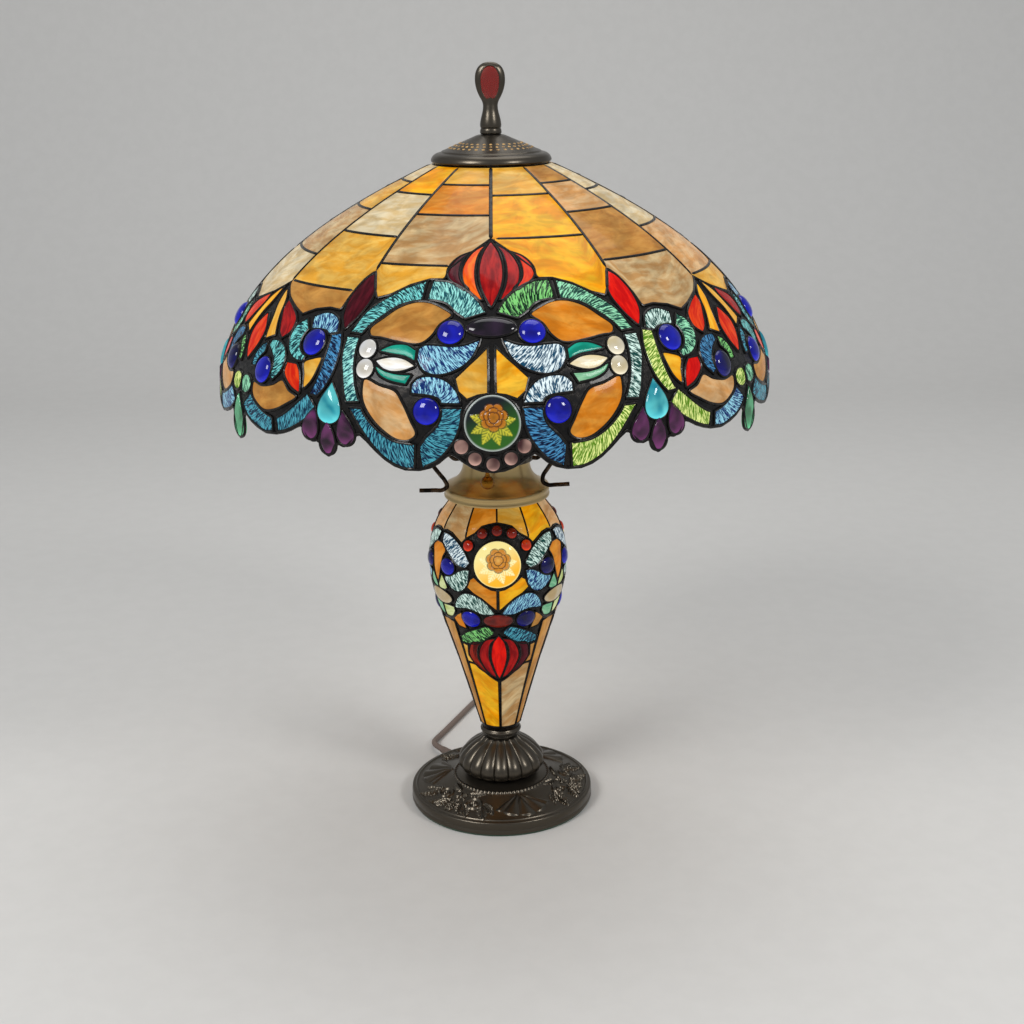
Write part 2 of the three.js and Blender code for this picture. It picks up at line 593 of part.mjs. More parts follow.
function edgeShortfall(angleDeg) {
  const repeat = 360 / SHADE_REPEATS;
  const within = ((angleDeg % repeat) + repeat) % repeat;
  const folded = Math.min(within, repeat - within);
  for (let k = 1; k < EDGE_SCALLOPS.length; k += 1) {
    const [a0, d0] = EDGE_SCALLOPS[k - 1];
    const [a1, d1] = EDGE_SCALLOPS[k];
    if (folded <= a1) return d0 + ((d1 - d0) * (folded - a0)) / (a1 - a0);
  }
  return 0;
}

function buildShade() {
  const wall = shadeWall();
  const lowerEdge = (angleDeg) => wall.length - edgeShortfall(angleDeg);
  const widths = [COLUMN_DEG, SHADE_PANEL_DEG, SHADE_PANEL_DEG, COLUMN_DEG];
  let angle = 0;
  for (let k = 0; k < SHADE_REPEATS * widths.length; k += 1) {
    const width = widths[k % widths.length];
    const panel = wall.panel(angle, angle + width, 0, lowerEdge, SHADE_WALL, EDGE_COLUMNS,
      10);
    add(`shade_panel_${k + 1}`, panel, k % 2 ? BLUE_GLASS : AMBER_GLASS);
    angle += width;
  }
  for (let k = 0; k < SHADE_REPEATS; k += 1) {
    const boss = wall.boss(k * (360 / SHADE_REPEATS), SHADE_MEDALLION_DOWN, SHADE_MEDALLION_RADIUS,
      MEDALLION_RISE);
    add(`shade_medallion_${k + 1}`, boss, YELLOW_GLASS);
  }

  const ringOuter = SHADE_TOP_RADIUS - 1.8;
  const ringTop = SHADE_TOP_HEIGHT - 1.5;
  const ringBottom = ringTop - RING_THICKNESS;
  add('shade_ring', pipe(ringBottom, ringTop, ringOuter, ringOuter - RING_WIDTH, 32), BRASS);
  const supportTop = ringBottom - RUNNING_CLEARANCE;
  add('support_disc', pipe(supportTop - SUPPORT_THICKNESS, supportTop, SUPPORT_RADIUS, BORE_RADIUS,
    28), STEEL);

  const roll = [];
  const rollMiddle = [VENT_RIM_RADIUS - VENT_ROLL_RADIUS, VENT_BOTTOM + VENT_ROLL_RADIUS];
  for (let k = 0; k <= 4; k += 1) {
    const a = -Math.PI / 2 + (k / 4) * Math.PI * 0.9;
    roll.push([rollMiddle[0] + VENT_ROLL_RADIUS * Math.cos(a),
      rollMiddle[1] + VENT_ROLL_RADIUS * Math.sin(a)]);
  }
  const cone = [[0.89, 0.25], [0.78, 0.39], [0.5, 0.71], [0.28, 0.93]]
    .map(([r, z]) => [VENT_RIM_RADIUS * r, VENT_BOTTOM + VENT_HEIGHT * z]);
  const under = cone.map(([r, z]) => [r - 0.4, z - VENT_WALL]).reverse();
  add('vent_cap', turned([...roll, ...cone, [FINIAL_FOOT_RADIUS, VENT_TOP], [BORE_RADIUS, VENT_TOP],
    [BORE_RADIUS, VENT_TOP - VENT_WALL], ...under], 28), BRONZE);
}

// ---------------------------------------------------------------- finial
// A turned stem that opens into a flat spoon, pierced by an oval that holds the red glass.
function buildFinial() {
  const line = [
    [1, 0], [0.97, 0.04], [0.98, 0.13], [0.88, 0.21], [0.71, 0.29], [0.64, 0.365], [0.68, 0.42],
  ].map(([r, z]) => [FINIAL_FOOT_RADIUS * r, FINIAL_HEIGHT * z]);
  const spoon = [[0.57, 0.47], [0.74, 0.535], [0.88, 0.605], [0.98, 0.69], [1, 0.77], [0.93, 0.86],
    [0.74, 0.94], [0.42, 0.985]].map(([r, z]) => [FINIAL_HALF_WIDTH * r, FINIAL_HEIGHT * z]);
  const geometry = turned([[0, 0], ...line, ...spoon, [0, FINIAL_HEIGHT]], 20);
  const position = geometry.attributes.position;
  for (let i = 0; i < position.count; i += 1) {
    const share = THREE.MathUtils.smoothstep(position.getZ(i) / FINIAL_HEIGHT, 0.36, 0.62);
    position.setY(i, position.getY(i) * (1 - (1 - FINIAL_FLATTENING) * share));
  }
  const window = new THREE.CylinderGeometry(1, 1, 40, 24)
    .scale(FINIAL_GLASS_HALF_WIDTH, 1, FINIAL_GLASS_HALF_HEIGHT)
    .translate(0, 0, FINIAL_GLASS_LEVEL);
  const boreRadius = FINIAL_STUD_RADIUS + RUNNING_CLEARANCE;
  const bore = new THREE.CylinderGeometry(boreRadius, boreRadius, 2 * FINIAL_BORE_DEPTH, 16)
    .rotateX(Math.PI / 2);
  const body = toManifold(geometry).subtract(toManifold(window)).subtract(toManifold(bore));
  add('finial', fromManifold(body).translate(0, 0, FINIAL_BOTTOM), BRONZE);

  const glass = new THREE.SphereGeometry(1, 18, 10).scale(
    FINIAL_GLASS_HALF_WIDTH - GAP,
    FINIAL_HALF_WIDTH * FINIAL_FLATTENING,
    FINIAL_GLASS_HALF_HEIGHT - GAP,
  );
  add('finial_glass', glass.translate(0, 0, FINIAL_BOTTOM + FINIAL_GLASS_LEVEL), RED_GLASS);
}

// ---------------------------------------------------------------- cord
// The cord leaves the back of the base, curves over the table behind the lamp and ends in a coil
// with the plug lying on it.
function buildCord() {
  const out = [-Math.sin(deg(CORD_EXIT_DEG)), Math.cos(deg(CORD_EXIT_DEG))];
  const start = BASE_RADIUS + GAP;
  const relief = turned([[0, 0], [RELIEF_RADIUS, 0], [RELIEF_RADIUS, 4],
    [RELIEF_TIP_RADIUS, RELIEF_LENGTH], [0, RELIEF_LENGTH]], 16);
  relief.rotateX(-Math.PI / 2).rotateZ(deg(CORD_EXIT_DEG));
  relief.translate(out[0] * start, out[1] * start, CORD_EXIT_HEIGHT);
  add('strain_relief', relief, CORD_PLASTIC);

  const first = start + RELIEF_LENGTH + GAP;
  const route = [
    [out[0] * first, out[1] * first, CORD_EXIT_HEIGHT],
    [out[0] * (first + 4), out[1] * (first + 4), CORD_EXIT_HEIGHT],
    [-63, 87.6, 6.5],
    [-65.1, 92.9, 5.7],
    [-66, 99.1, 4.7],
    [-65.7, 105.4, 3.8],
    [-63.9, 112, 3.1],
    [-59.9, 122, CORD_RADIUS],
    [-54.4, 135.5, CORD_RADIUS],
    [-44.9, 159, CORD_RADIUS],
    [-35.5, 182.5, CORD_RADIUS],
    [-26, 206, CORD_RADIUS],
    [-18.8, 228, CORD_RADIUS],
    [-10.4, 250, CORD_RADIUS],
    [-0.6, 271, CORD_RADIUS],
    [10.2, 291, CORD_RADIUS],
    [20.4, 311, CORD_RADIUS],
    [28.6, 329, CORD_RADIUS],
    [33.6, 343, CORD_RADIUS],
  ];
  add('cord_tube', sweptBar(route, CORD_RADIUS, 36), CORD_PLASTIC);

  const [cx, cy] = COIL_CENTRE;
  add('cord_coil', turned([
    [COIL_INNER_RADIUS, 0], [COIL_OUTER_RADIUS, 0], [COIL_OUTER_RADIUS, COIL_HEIGHT],
    [COIL_INNER_RADIUS, COIL_HEIGHT],
  ], 40).translate(cx, cy, 0), CORD_PLASTIC);

  buildPlug();
}

function buildPlug() {
  const bottom = COIL_HEIGHT + GAP;
  const [half, neck] = [PLUG_WIDTH / 2, PLUG_NECK_WIDTH / 2];
  const bodyEnd = PLUG_NECK_LENGTH + PLUG_LENGTH;
  const outline = new THREE.Shape();
  outline.moveTo(0, -neck);
  outline.lineTo(PLUG_NECK_LENGTH, -neck);
  outline.quadraticCurveTo(PLUG_NECK_LENGTH + 4, -half, PLUG_NECK_LENGTH + 14, -half);
  outline.lineTo(bodyEnd, -half);
  outline.lineTo(bodyEnd, half);
  outline.lineTo(PLUG_NECK_LENGTH + 14, half);
  outline.quadraticCurveTo(PLUG_NECK_LENGTH + 4, half, PLUG_NECK_LENGTH, neck);
  outline.lineTo(0, neck);
  outline.closePath();
  const place = (geometry) => geometry.rotateZ(deg(PLUG_TURN_DEG)).translate(...PLUG_AT, 0);
  const body = new THREE.ExtrudeGeometry(outline, {
    depth: PLUG_THICKNESS, bevelEnabled: false, curveSegments: 5,
  });
  add('plug_body', place(body.translate(0, 0, bottom)), CORD_PLASTIC);
  ['left', 'right'].forEach((side, k) => {
    const blade = new THREE.BoxGeometry(BLADE_LENGTH, BLADE_THICKNESS, BLADE_WIDTH).translate(
      bodyEnd + GAP + BLADE_LENGTH / 2,
      (k - 0.5) * BLADE_SPACING,
      bottom + PLUG_THICKNESS / 2,
    );
    add(`plug_blade_${side}`, place(blade), BRASS);
  });
}

buildBase();
buildRods();
buildUrn();
buildNightLight();
buildCluster();
buildWireArms();
buildShade();
buildFinial();
buildCord();

export default lamp;
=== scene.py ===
"""Looks of a double-lit leaded glass table lamp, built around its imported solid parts.

Sizes are in millimetres and degrees inside the classes and turn into metres where a mesh is made.
A place on a glass wall is (angle, down): the angle is 0 at the front (-Y) and grows towards +X,
and down is the way along the wall from its top edge.
"""

import logging
import math
from dataclasses import dataclass, field
from enum import Enum
from typing import Callable, Iterable, Sequence

import bmesh
import bpy
import numpy as np
from mathutils import Matrix, Vector


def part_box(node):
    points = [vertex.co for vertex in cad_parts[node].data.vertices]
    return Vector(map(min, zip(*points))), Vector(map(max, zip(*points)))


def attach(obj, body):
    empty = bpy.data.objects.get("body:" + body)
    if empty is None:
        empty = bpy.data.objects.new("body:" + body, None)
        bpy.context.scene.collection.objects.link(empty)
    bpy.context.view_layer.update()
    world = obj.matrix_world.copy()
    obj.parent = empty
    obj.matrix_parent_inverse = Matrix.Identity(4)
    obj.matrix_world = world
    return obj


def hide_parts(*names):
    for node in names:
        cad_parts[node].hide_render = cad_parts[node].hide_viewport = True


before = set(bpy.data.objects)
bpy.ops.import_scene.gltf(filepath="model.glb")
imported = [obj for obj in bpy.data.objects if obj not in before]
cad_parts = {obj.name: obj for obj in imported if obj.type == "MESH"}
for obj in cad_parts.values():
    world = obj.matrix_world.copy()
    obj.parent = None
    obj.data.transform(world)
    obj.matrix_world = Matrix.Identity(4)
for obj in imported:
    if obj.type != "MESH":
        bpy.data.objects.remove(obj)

LOG = logging.getLogger("lamp")
MM = 0.001
SEED = 20
WIDEST_ALLOWED = 228.6   # crest of the shade, which no jewel stands proud of

Points = Sequence[tuple[float, float]]


# ---------------------------------------------------------------- colours
def rgb(code: str) -> np.ndarray:
    """A colour written as six hexadecimal digits, as linear red, green and blue.

    Args:
        code: the digits, such as "d8a040".

    Returns:
        Three numbers from 0 to 1.
    """
    value = np.array([int(code[k : k + 2], 16) for k in (0, 2, 4)]) / 255
    return np.where(value <= 0.04045, value / 12.92, ((value + 0.055) / 1.055) ** 2.4)


class Tint(Enum):
    """The glass colours: main colour, the colour streaked through it, and how much it glows. In the
    ripple glass the pale streak colour is partly the glass's own streaks and partly painted
    highlight off the ripples.
    """

    BEIGE = ("cc9a5e", "e6c894", 0.8)
    SAND = ("d89c4c", "c4843a", 0.85)
    HONEY = ("eca832", "f6c45c", 0.95)
    GOLD = ("f89e06", "ffc022", 1.05)
    CREAM = ("e6c68c", "f6e4bc", 0.85)
    ORANGE_AMBER = ("e28418", "f0a03a", 0.95)
    PEACH = ("e4a45e", "f2c68e", 0.85)
    # Ripple-glass tints: the pale second colour is partly the glass's own streaks and partly
    # painted highlight off the ripples.
    TEAL = ("03343e", "7ee2de", 0.85)
    TURQUOISE = ("034c58", "a2f0e6", 0.9)
    AZURE = ("042c6c", "9ee0f4", 0.9)
    OCEAN = ("032a48", "56b4c8", 0.75)
    DEEP_BLUE = ("03163c", "52a0d4", 0.7)
    WHITE_BLUE = ("0c4664", "ecfcff", 1.0)
    WHITE_TEAL = ("0c4640", "e2fff4", 0.95)
    FOREST = ("062e1a", "8ce080", 0.8)
    SEA_GREEN = ("064238", "a5f4c4", 0.85)
    LIME = ("5c8c14", "f4ff9c", 0.95)
    MAROON = ("3c0410", "621222", 0.6)
    CRIMSON = ("84060e", "c01c18", 0.85)
    SCARLET = ("c80404", "f01c0a", 1.0)
    ORANGE_RED = ("d01c04", "f04a12", 1.0)
    ORANGE = ("e84c06", "ff7a1c", 1.0)
    YELLOW = ("f7a008", "ffc63a", 1.05)
    OPAL = ("efe6d2", "ffffff", 0.8)
    IVORY = ("f3dfae", "fff6dc", 0.85)
    JADE = ("0a8a74", "24b49a", 0.8)
    CELADON = ("6fb88a", "9ed8ac", 0.8)
    COBALT = ("020290", "1420d8", 0.8)
    NAVY = ("04043a", "16168a", 0.6)
    PLUM = ("200820", "8c3c80", 0.5)
    AMETHYST = ("4a1c22", "e8b8a8", 0.7)
    AQUA = ("0898b0", "6ce8ec", 0.95)
    EMERALD = ("108048", "66d898", 0.85)
    GARNET = ("560806", "b42a12", 0.6)
    PITCH = ("08050e", "3a2440", 0.25)
    LEAF = ("b4c46a", "e4eeb0", 0.9)

    @property
    def pair(self) -> tuple[np.ndarray, np.ndarray]:
        """Main and streak colours, scaled by the glow that each of them keeps in alpha."""
        main, streak, glow = self.value
        return np.append(rgb(main), glow), np.append(rgb(streak), glow)


# ---------------------------------------------------------------- shader graphs
class Wire:
    """One value in a shader graph. Arithmetic on wires lays Math nodes between them."""

    def __init__(self, sheet: "Sheet", socket: bpy.types.NodeSocket) -> None:
        """Keeps the graph and the socket that the value comes out of."""
        self.sheet = sheet
        self.socket = socket

    def _lay(self, operation: str, *terms: "Wire | float") -> "Wire":
        """A Math node of that operation on the terms."""
        return self.sheet.put("Math", "Value", {"operation": operation}, *terms)

    def __add__(self, other: "Wire | float") -> "Wire":
        """Sum."""
        return self._lay("ADD", self, other)

    def __radd__(self, other: float) -> "Wire":
        """Sum with a number on the left."""
        return self._lay("ADD", other, self)

    def __sub__(self, other: "Wire | float") -> "Wire":
        """Difference."""
        return self._lay("SUBTRACT", self, other)

    def __rsub__(self, other: float) -> "Wire":
        """Difference with a number on the left."""
        return self._lay("SUBTRACT", other, self)

    def __mul__(self, other: "Wire | float") -> "Wire":
        """Product."""
        return self._lay("MULTIPLY", self, other)

    def __rmul__(self, other: float) -> "Wire":
        """Product with a number on the left."""
        return self._lay("MULTIPLY", other, self)

    def __truediv__(self, other: "Wire | float") -> "Wire":
        """Quotient."""
        return self._lay("DIVIDE", self, other)

    def __pow__(self, other: "Wire | float") -> "Wire":
        """Power."""
        return self._lay("POWER", self, other)

    def ramp(self, low: float, high: float) -> "Wire":
        """A smooth step: 0 at low, 1 at high."""
        settings = {"interpolation_type": "SMOOTHSTEP"}
        return self.sheet.put("MapRange", "Result", settings, self, low, high)


class Sheet:
    """The shader graph of one material."""

    def __init__(self, name: str) -> None:
        """Starts an empty material of that name."""
        self.material = bpy.data.materials.new(name)
        self.material.use_nodes = True
        self.tree = self.material.node_tree
        self.tree.nodes.clear()

    def put(self, kind: str, output: str, settings: dict | None = None,
            *terms: "Wire | float | Sequence[float] | None", **named: "Wire | float") -> Wire:
        """Adds one node.

        Args:
            kind: the node's type without "ShaderNode".
            output: the name of the output that is handed on.
            settings: properties of the node itself.
            *terms: values or wires for the inputs in their order; None leaves one as it is.
            **named: the same by input name, with _ for a space.

        Returns:
            The wire that comes out of it.
        """
        node = self.tree.nodes.new(f"ShaderNode{kind}")
        for key, value in (settings or {}).items():
            setattr(node, key, value)
        wanted = list(zip(node.inputs, terms))
        wanted += [(node.inputs[key.replace("_", " ")], value) for key, value in named.items()]
        for socket, value in wanted:
            if isinstance(value, Wire):
                self.tree.links.new(value.socket, socket)
            elif value is not None:
                socket.default_value = value
        return Wire(self, node.outputs[output])

    def place(self) -> Wire:
        """Object coordinates in metres."""
        return self.put("TexCoord", "Object")

    def attribute(self, name: str, output: str) -> Wire:
        """A value that the mesh carries at its points."""
        return self.put("Attribute", output, {"attribute_name": name})

    def stretched(self, vector: Wire, scale: Sequence[float]) -> Wire:
        """The vector times a scale on each axis."""
        return self.put("VectorMath", "Vector", {"operation": "MULTIPLY"}, vector, scale)

    def noise(self, vector: Wire, scale: float, detail: float = 2.0, rough: float = 0.5,
              warp: float = 0.0) -> Wire:
        """Fractal noise from about 0.25 to 0.75."""
        return self.put("TexNoise", "Fac", None, Vector=vector, Scale=scale, Detail=detail,
                        Roughness=rough, Distortion=warp)

    def mix(self, share: "Wire | float", first: "Wire | Sequence[float]",
            second: "Wire | Sequence[float]") -> Wire:
        """Blends two colours."""
        node = self.tree.nodes.new("ShaderNodeMix")
        node.data_type = "RGBA"
        for socket, value in ((node.inputs[0], share), (node.inputs[6], first),
                              (node.inputs[7], second)):
            if isinstance(value, Wire):
                self.tree.links.new(value.socket, socket)
            else:
                socket.default_value = value
        return Wire(self, node.outputs[2])

    def bump(self, height: Wire, depth: float, strength: float = 1.0) -> Wire:
        """A bumped normal; depth is in metres."""
        return self.put("Bump", "Normal", None, Strength=strength, Distance=depth, Height=height)

    def close(self, **inputs: "Wire | float | Sequence[float]") -> bpy.types.Material:
        """Ends the graph with one Principled shader that takes the given inputs."""
        shader = self.put("BsdfPrincipled", "BSDF", None, **inputs)
        output = self.tree.nodes.new("ShaderNodeOutputMaterial")
        self.tree.links.new(shader.socket, output.inputs["Surface"])
        return self.material


def opaque(colour: np.ndarray) -> tuple[float, float, float, float]:
    """A colour with full alpha, as a socket takes it."""
    return (*[float(c) for c in colour[:3]], 1.0)


# ---------------------------------------------------------------- finishes
@dataclass(frozen=True)
class GlassFinish:
    """Coloured glass that is lit from behind.

    The mesh carries two colours and a place (along, across, own number) in millimetres.
    Streaks of the second colour run through the first one; on the ripple glass these pale streaks
    are partly painted highlight.
    """

    name: str
    streak_along: float      # noise cells per millimetre along the piece
    streak_across: float
    streak_low: float
    streak_high: float
    relief: float            # depth of the surface ripples, millimetres
    roughness: float
    glow: float
    detail: float = 2.0
    coat: float = 0.4
    slant: float = 0.0       # how far the streaks lean, millimetres per millimetre
    shade: float = 0.0       # darkest dip of the slow cloudiness
    body: float = 0.36       # how much of the light that falls on it is thrown back
    gloss: float = 0.08      # strength of the mirror image under the coat

    def build(self) -> bpy.types.Material:
        """Makes the material."""
        sheet = Sheet(self.name)
        grain = sheet.attribute("grain", "Vector")
        parts = sheet.put("SeparateXYZ", "X", None, grain)
        node = parts.socket.node
        across = Wire(sheet, node.outputs["Y"])
        number = Wire(sheet, node.outputs["Z"])
        leaned = parts + across * self.slant
        lines = sheet.put("CombineXYZ", "Vector", None, leaned * self.streak_along,
                          across * self.streak_across, number * 7.3)
        streak = sheet.noise(lines, 1.0, self.detail, 0.55, 0.35)
        share = streak.ramp(self.streak_low, self.streak_high)
        first = sheet.attribute("tint_a", "Color")
        second = sheet.attribute("tint_b", "Color")
        colour = sheet.mix(share, first, second)
        if self.shade:
            cloud_at = sheet.put("CombineXYZ", "Vector", None, leaned * 0.045, across * 0.06,
                                 number * 3.1)
            cloud = sheet.noise(cloud_at, 1.0, 3.0, 0.6, 0.8)
            level = cloud.ramp(0.3, 0.7) * self.shade + (1.0 - self.shade)
            colour = sheet.put("VectorMath", "Vector", {"operation": "SCALE"}, colour, None, None,
                               level)
        glow = sheet.attribute("tint_a", "Alpha")
        shining = sheet.put("VectorMath", "Vector", {"operation": "SCALE"}, colour, None, None,
                            glow)
        normal = sheet.bump(streak, self.relief * MM)
        body = sheet.put("VectorMath", "Vector", {"operation": "SCALE"}, colour, None, None,
                         self.body)
        return sheet.close(Base_Color=body, Roughness=self.roughness, IOR=1.5,
                           Specular_IOR_Level=self.gloss,
                           Coat_Weight=self.coat, Coat_Roughness=0.05, Emission_Color=shining,
                           Emission_Strength=self.glow, Normal=normal)


@dataclass(frozen=True)
class MetalFinish:
    """Metal with a patina that gathers in patches."""

    name: str
    base: str
    patina: str
    metallic: float = 0.9
    roughness: float = 0.38
    patch: float = 60.0      # patches per metre
    share: float = 0.5       # how much of it the patina takes
    relief: float = 0.08     # millimetres
    turn: float = 0.0        # fine turning lines, millimetres of depth
    coat: float = 0.0

    def build(self) -> bpy.types.Material:
        """Makes the material."""
        sheet = Sheet(self.name)
        place = sheet.place()
        blotch = sheet.noise(place, self.patch, 4.0, 0.6, 0.4)
        worn = blotch.ramp(0.62 - 0.3 * self.share, 0.78 - 0.3 * self.share)
        colour = sheet.mix(worn, opaque(rgb(self.patina)), opaque(rgb(self.base)))
        fine = sheet.noise(place, 1400.0, 3.0, 0.6)
        rough = self.roughness + (fine - 0.5) * 0.25 + (0.5 - worn) * 0.16
        height = fine
        if self.turn:
            rings = sheet.stretched(place, (0.0, 0.0, 1.0))
            height = fine + sheet.noise(rings, 2600.0, 1.0) * (self.turn / self.relief)
        normal = sheet.bump(height, self.relief * MM)
        return sheet.close(Base_Color=colour, Roughness=rough, Metallic=self.metallic,
                           Coat_Weight=self.coat, Normal=normal)


@dataclass(frozen=True)
class PlainFinish:
    """A dull material of one colour with fine grain: felt, vinyl, porcelain, frosted bulb."""

    name: str
    colour: str
    fleck: str
    roughness: float
    grain: float = 900.0
    relief: float = 0.1
    coat: float = 0.0
    glow: float = 0.0

    def build(self) -> bpy.types.Material:
        """Makes the material."""
        sheet = Sheet(self.name)
        fine = sheet.noise(sheet.place(), self.grain, 4.0, 0.6)
        colour = sheet.mix(fine.ramp(0.35, 0.65), opaque(rgb(self.colour)), opaque(rgb(self.fleck)))
        normal = sheet.bump(fine, self.relief * MM)
        return sheet.close(Base_Color=colour, Roughness=self.roughness, Coat_Weight=self.coat,
                           Emission_Color=colour, Emission_Strength=self.glow, Normal=normal)


class Finish(Enum):
    """Every finish of the lamp."""

    LEAD = MetalFinish("lead_came", "1c1916", "080707", 0.75, 0.38, 240.0, 0.7, 0.12, coat=0.15)
    BRONZE = MetalFinish("dark_bronze", "32261d", "0b0807", 0.88, 0.3, 70.0, 0.7, 0.1, coat=0.1)
    BRASS = MetalFinish("aged_brass", "33230e", "0d0905", 0.95, 0.33, 24.0, 0.45, 0.06, 0.05)
    BRIGHT_BRASS = MetalFinish("bright_brass", "dca63c", "8a5c1c", 0.98, 0.17, 60.0, 0.1, 0.03)
    STEEL = MetalFinish("rod_steel", "9a9a9c", "5c5a58", 0.95, 0.32, 90.0, 0.3, 0.05)
    WIRE = MetalFinish("arm_wire", "4a3a2a", "140f0b", 0.85, 0.3, 120.0, 0.6, 0.06)
    AMBER = GlassFinish("amber_opal_glass", 0.05, 0.13, 0.36, 0.66, 0.22, 0.24, 0.6, 5.0, 0.1,
                        0.35, 0.34)
    # Ripple glass: its pale streaks glow like the rest, so they serve partly as painted highlights
    # off the ripples.
    RIPPLE = GlassFinish("ripple_glass", 0.95, 0.2, 0.45, 0.58, 1.0, 0.12, 0.62, 3.0, 0.2, 0.6)
    LEAF = GlassFinish("streaked_leaf_glass", 0.06, 0.25, 0.36, 0.68, 0.15, 0.14, 0.58, 3.0, 0.12)
    JEWEL = GlassFinish("cast_jewel_glass", 0.08, 0.08, 0.3, 0.75, 0.03, 0.04, 0.5, 1.0, 0.6)
    FELT = PlainFinish("base_felt", "22382a", "3c5a44", 0.95, 1600.0, 0.3)
    VINYL = PlainFinish("cord_vinyl", "6b5a4c", "5a4a3e", 0.5, 700.0, 0.05, 0.1)
    PORCELAIN = PlainFinish("socket_ceramic", "efe8da", "e2d8c6", 0.25, 300.0, 0.02, 0.4)
    FROST = PlainFinish("bulb_glass", "fff4dc", "f6e6c4", 0.35, 500.0, 0.02, 0.3, 0.6)
    # The red finial glass is given a faint painted glow, though no lamp shines through it.
    RED_LENS = PlainFinish("red_glass", "6c0206", "960608", 0.07, 60.0, 0.02, 0.4, 0.2)
    SLOT_LIGHT = PlainFinish("slot_glow", "a8854e", "5c4424", 0.5, 500.0, 0.05, 0.0, 0.5)
    FLOOR = PlainFinish("pale_floor", "c9c7c3", "c7c5c1", 0.6, 40.0, 0.01)

    @property
    def material(self) -> bpy.types.Material:
        """The one material of this finish, made when it is first asked for."""
        found = bpy.data.materials.get(self.value.name)
        return found or self.value.build()


# ---------------------------------------------------------------- curves and meshes
def smooth(points: Points, count: int, closed: bool = False, scale: float = 3.6) -> np.ndarray:
    """A smooth line through points, evenly spaced.

    Each stretch between two points is a cubic whose slopes at its ends come from the points'
    neighbours. Angles count as scale millimetres per degree when lengths are measured.

    Args:
        points: (angle, down) pairs.
        count: how many places the line gets.
        closed: True to join the end to the start.
        scale: millimetres per degree.

    Returns:
        An array of count rows, (angle, down).
    """
    metric = np.array(points, float) * (scale, 1.0)
    if closed:
        metric = np.vstack([metric, metric[:1]])
    chord = np.maximum(np.linalg.norm(np.diff(metric, axis=0), axis=1), 1e-6)
    knots = np.concatenate([[0.0], np.cumsum(chord)])
    steps = np.diff(metric, axis=0) / chord[:, None]
    slopes = np.empty_like(metric)
    slopes[1:-1] = (steps[1:] + steps[:-1]) / 2
    slopes[0] = slopes[-1] = (steps[0] + steps[-1]) / 2 if closed else 0.0
    if not closed:
        slopes[0], slopes[-1] = steps[0], steps[-1]
    place = np.linspace(0, knots[-1], count, endpoint=not closed)
    cell = np.clip(np.searchsorted(knots, place, side="right") - 1, 0, len(chord) - 1)
    width = chord[cell]
    t = ((place - knots[cell]) / width)[:, None]
    width = width[:, None]
    line = (
        metric[cell] * (2 * t**3 - 3 * t**2 + 1)
        + slopes[cell] * width * (t**3 - 2 * t**2 + t)
        + metric[cell + 1] * (3 * t**2 - 2 * t**3)
        + slopes[cell + 1] * width * (t**3 - t**2)
    )
    return line / (scale, 1.0)


def even(points: Points, count: int, closed: bool = False) -> np.ndarray:
    """A line of straight stretches through points, evenly spaced and with its corners kept."""
    line = np.array(points, float)
    if closed:
        line = np.vstack([line, line[:1]])
    chord = np.linalg.norm(np.diff(line * (3.6, 1.0), axis=0), axis=1)
    knots = np.concatenate([[0.0], np.cumsum(chord)])
    place = np.linspace(0, knots[-1], count, endpoint=not closed)
    if closed:
        nearest = np.abs(place[:, None] - knots[None, :-1]).argmin(axis=0)
        place[nearest] = knots[:-1]
    return np.stack([np.interp(place, knots, line[:, k]) for k in (0, 1)], axis=1)


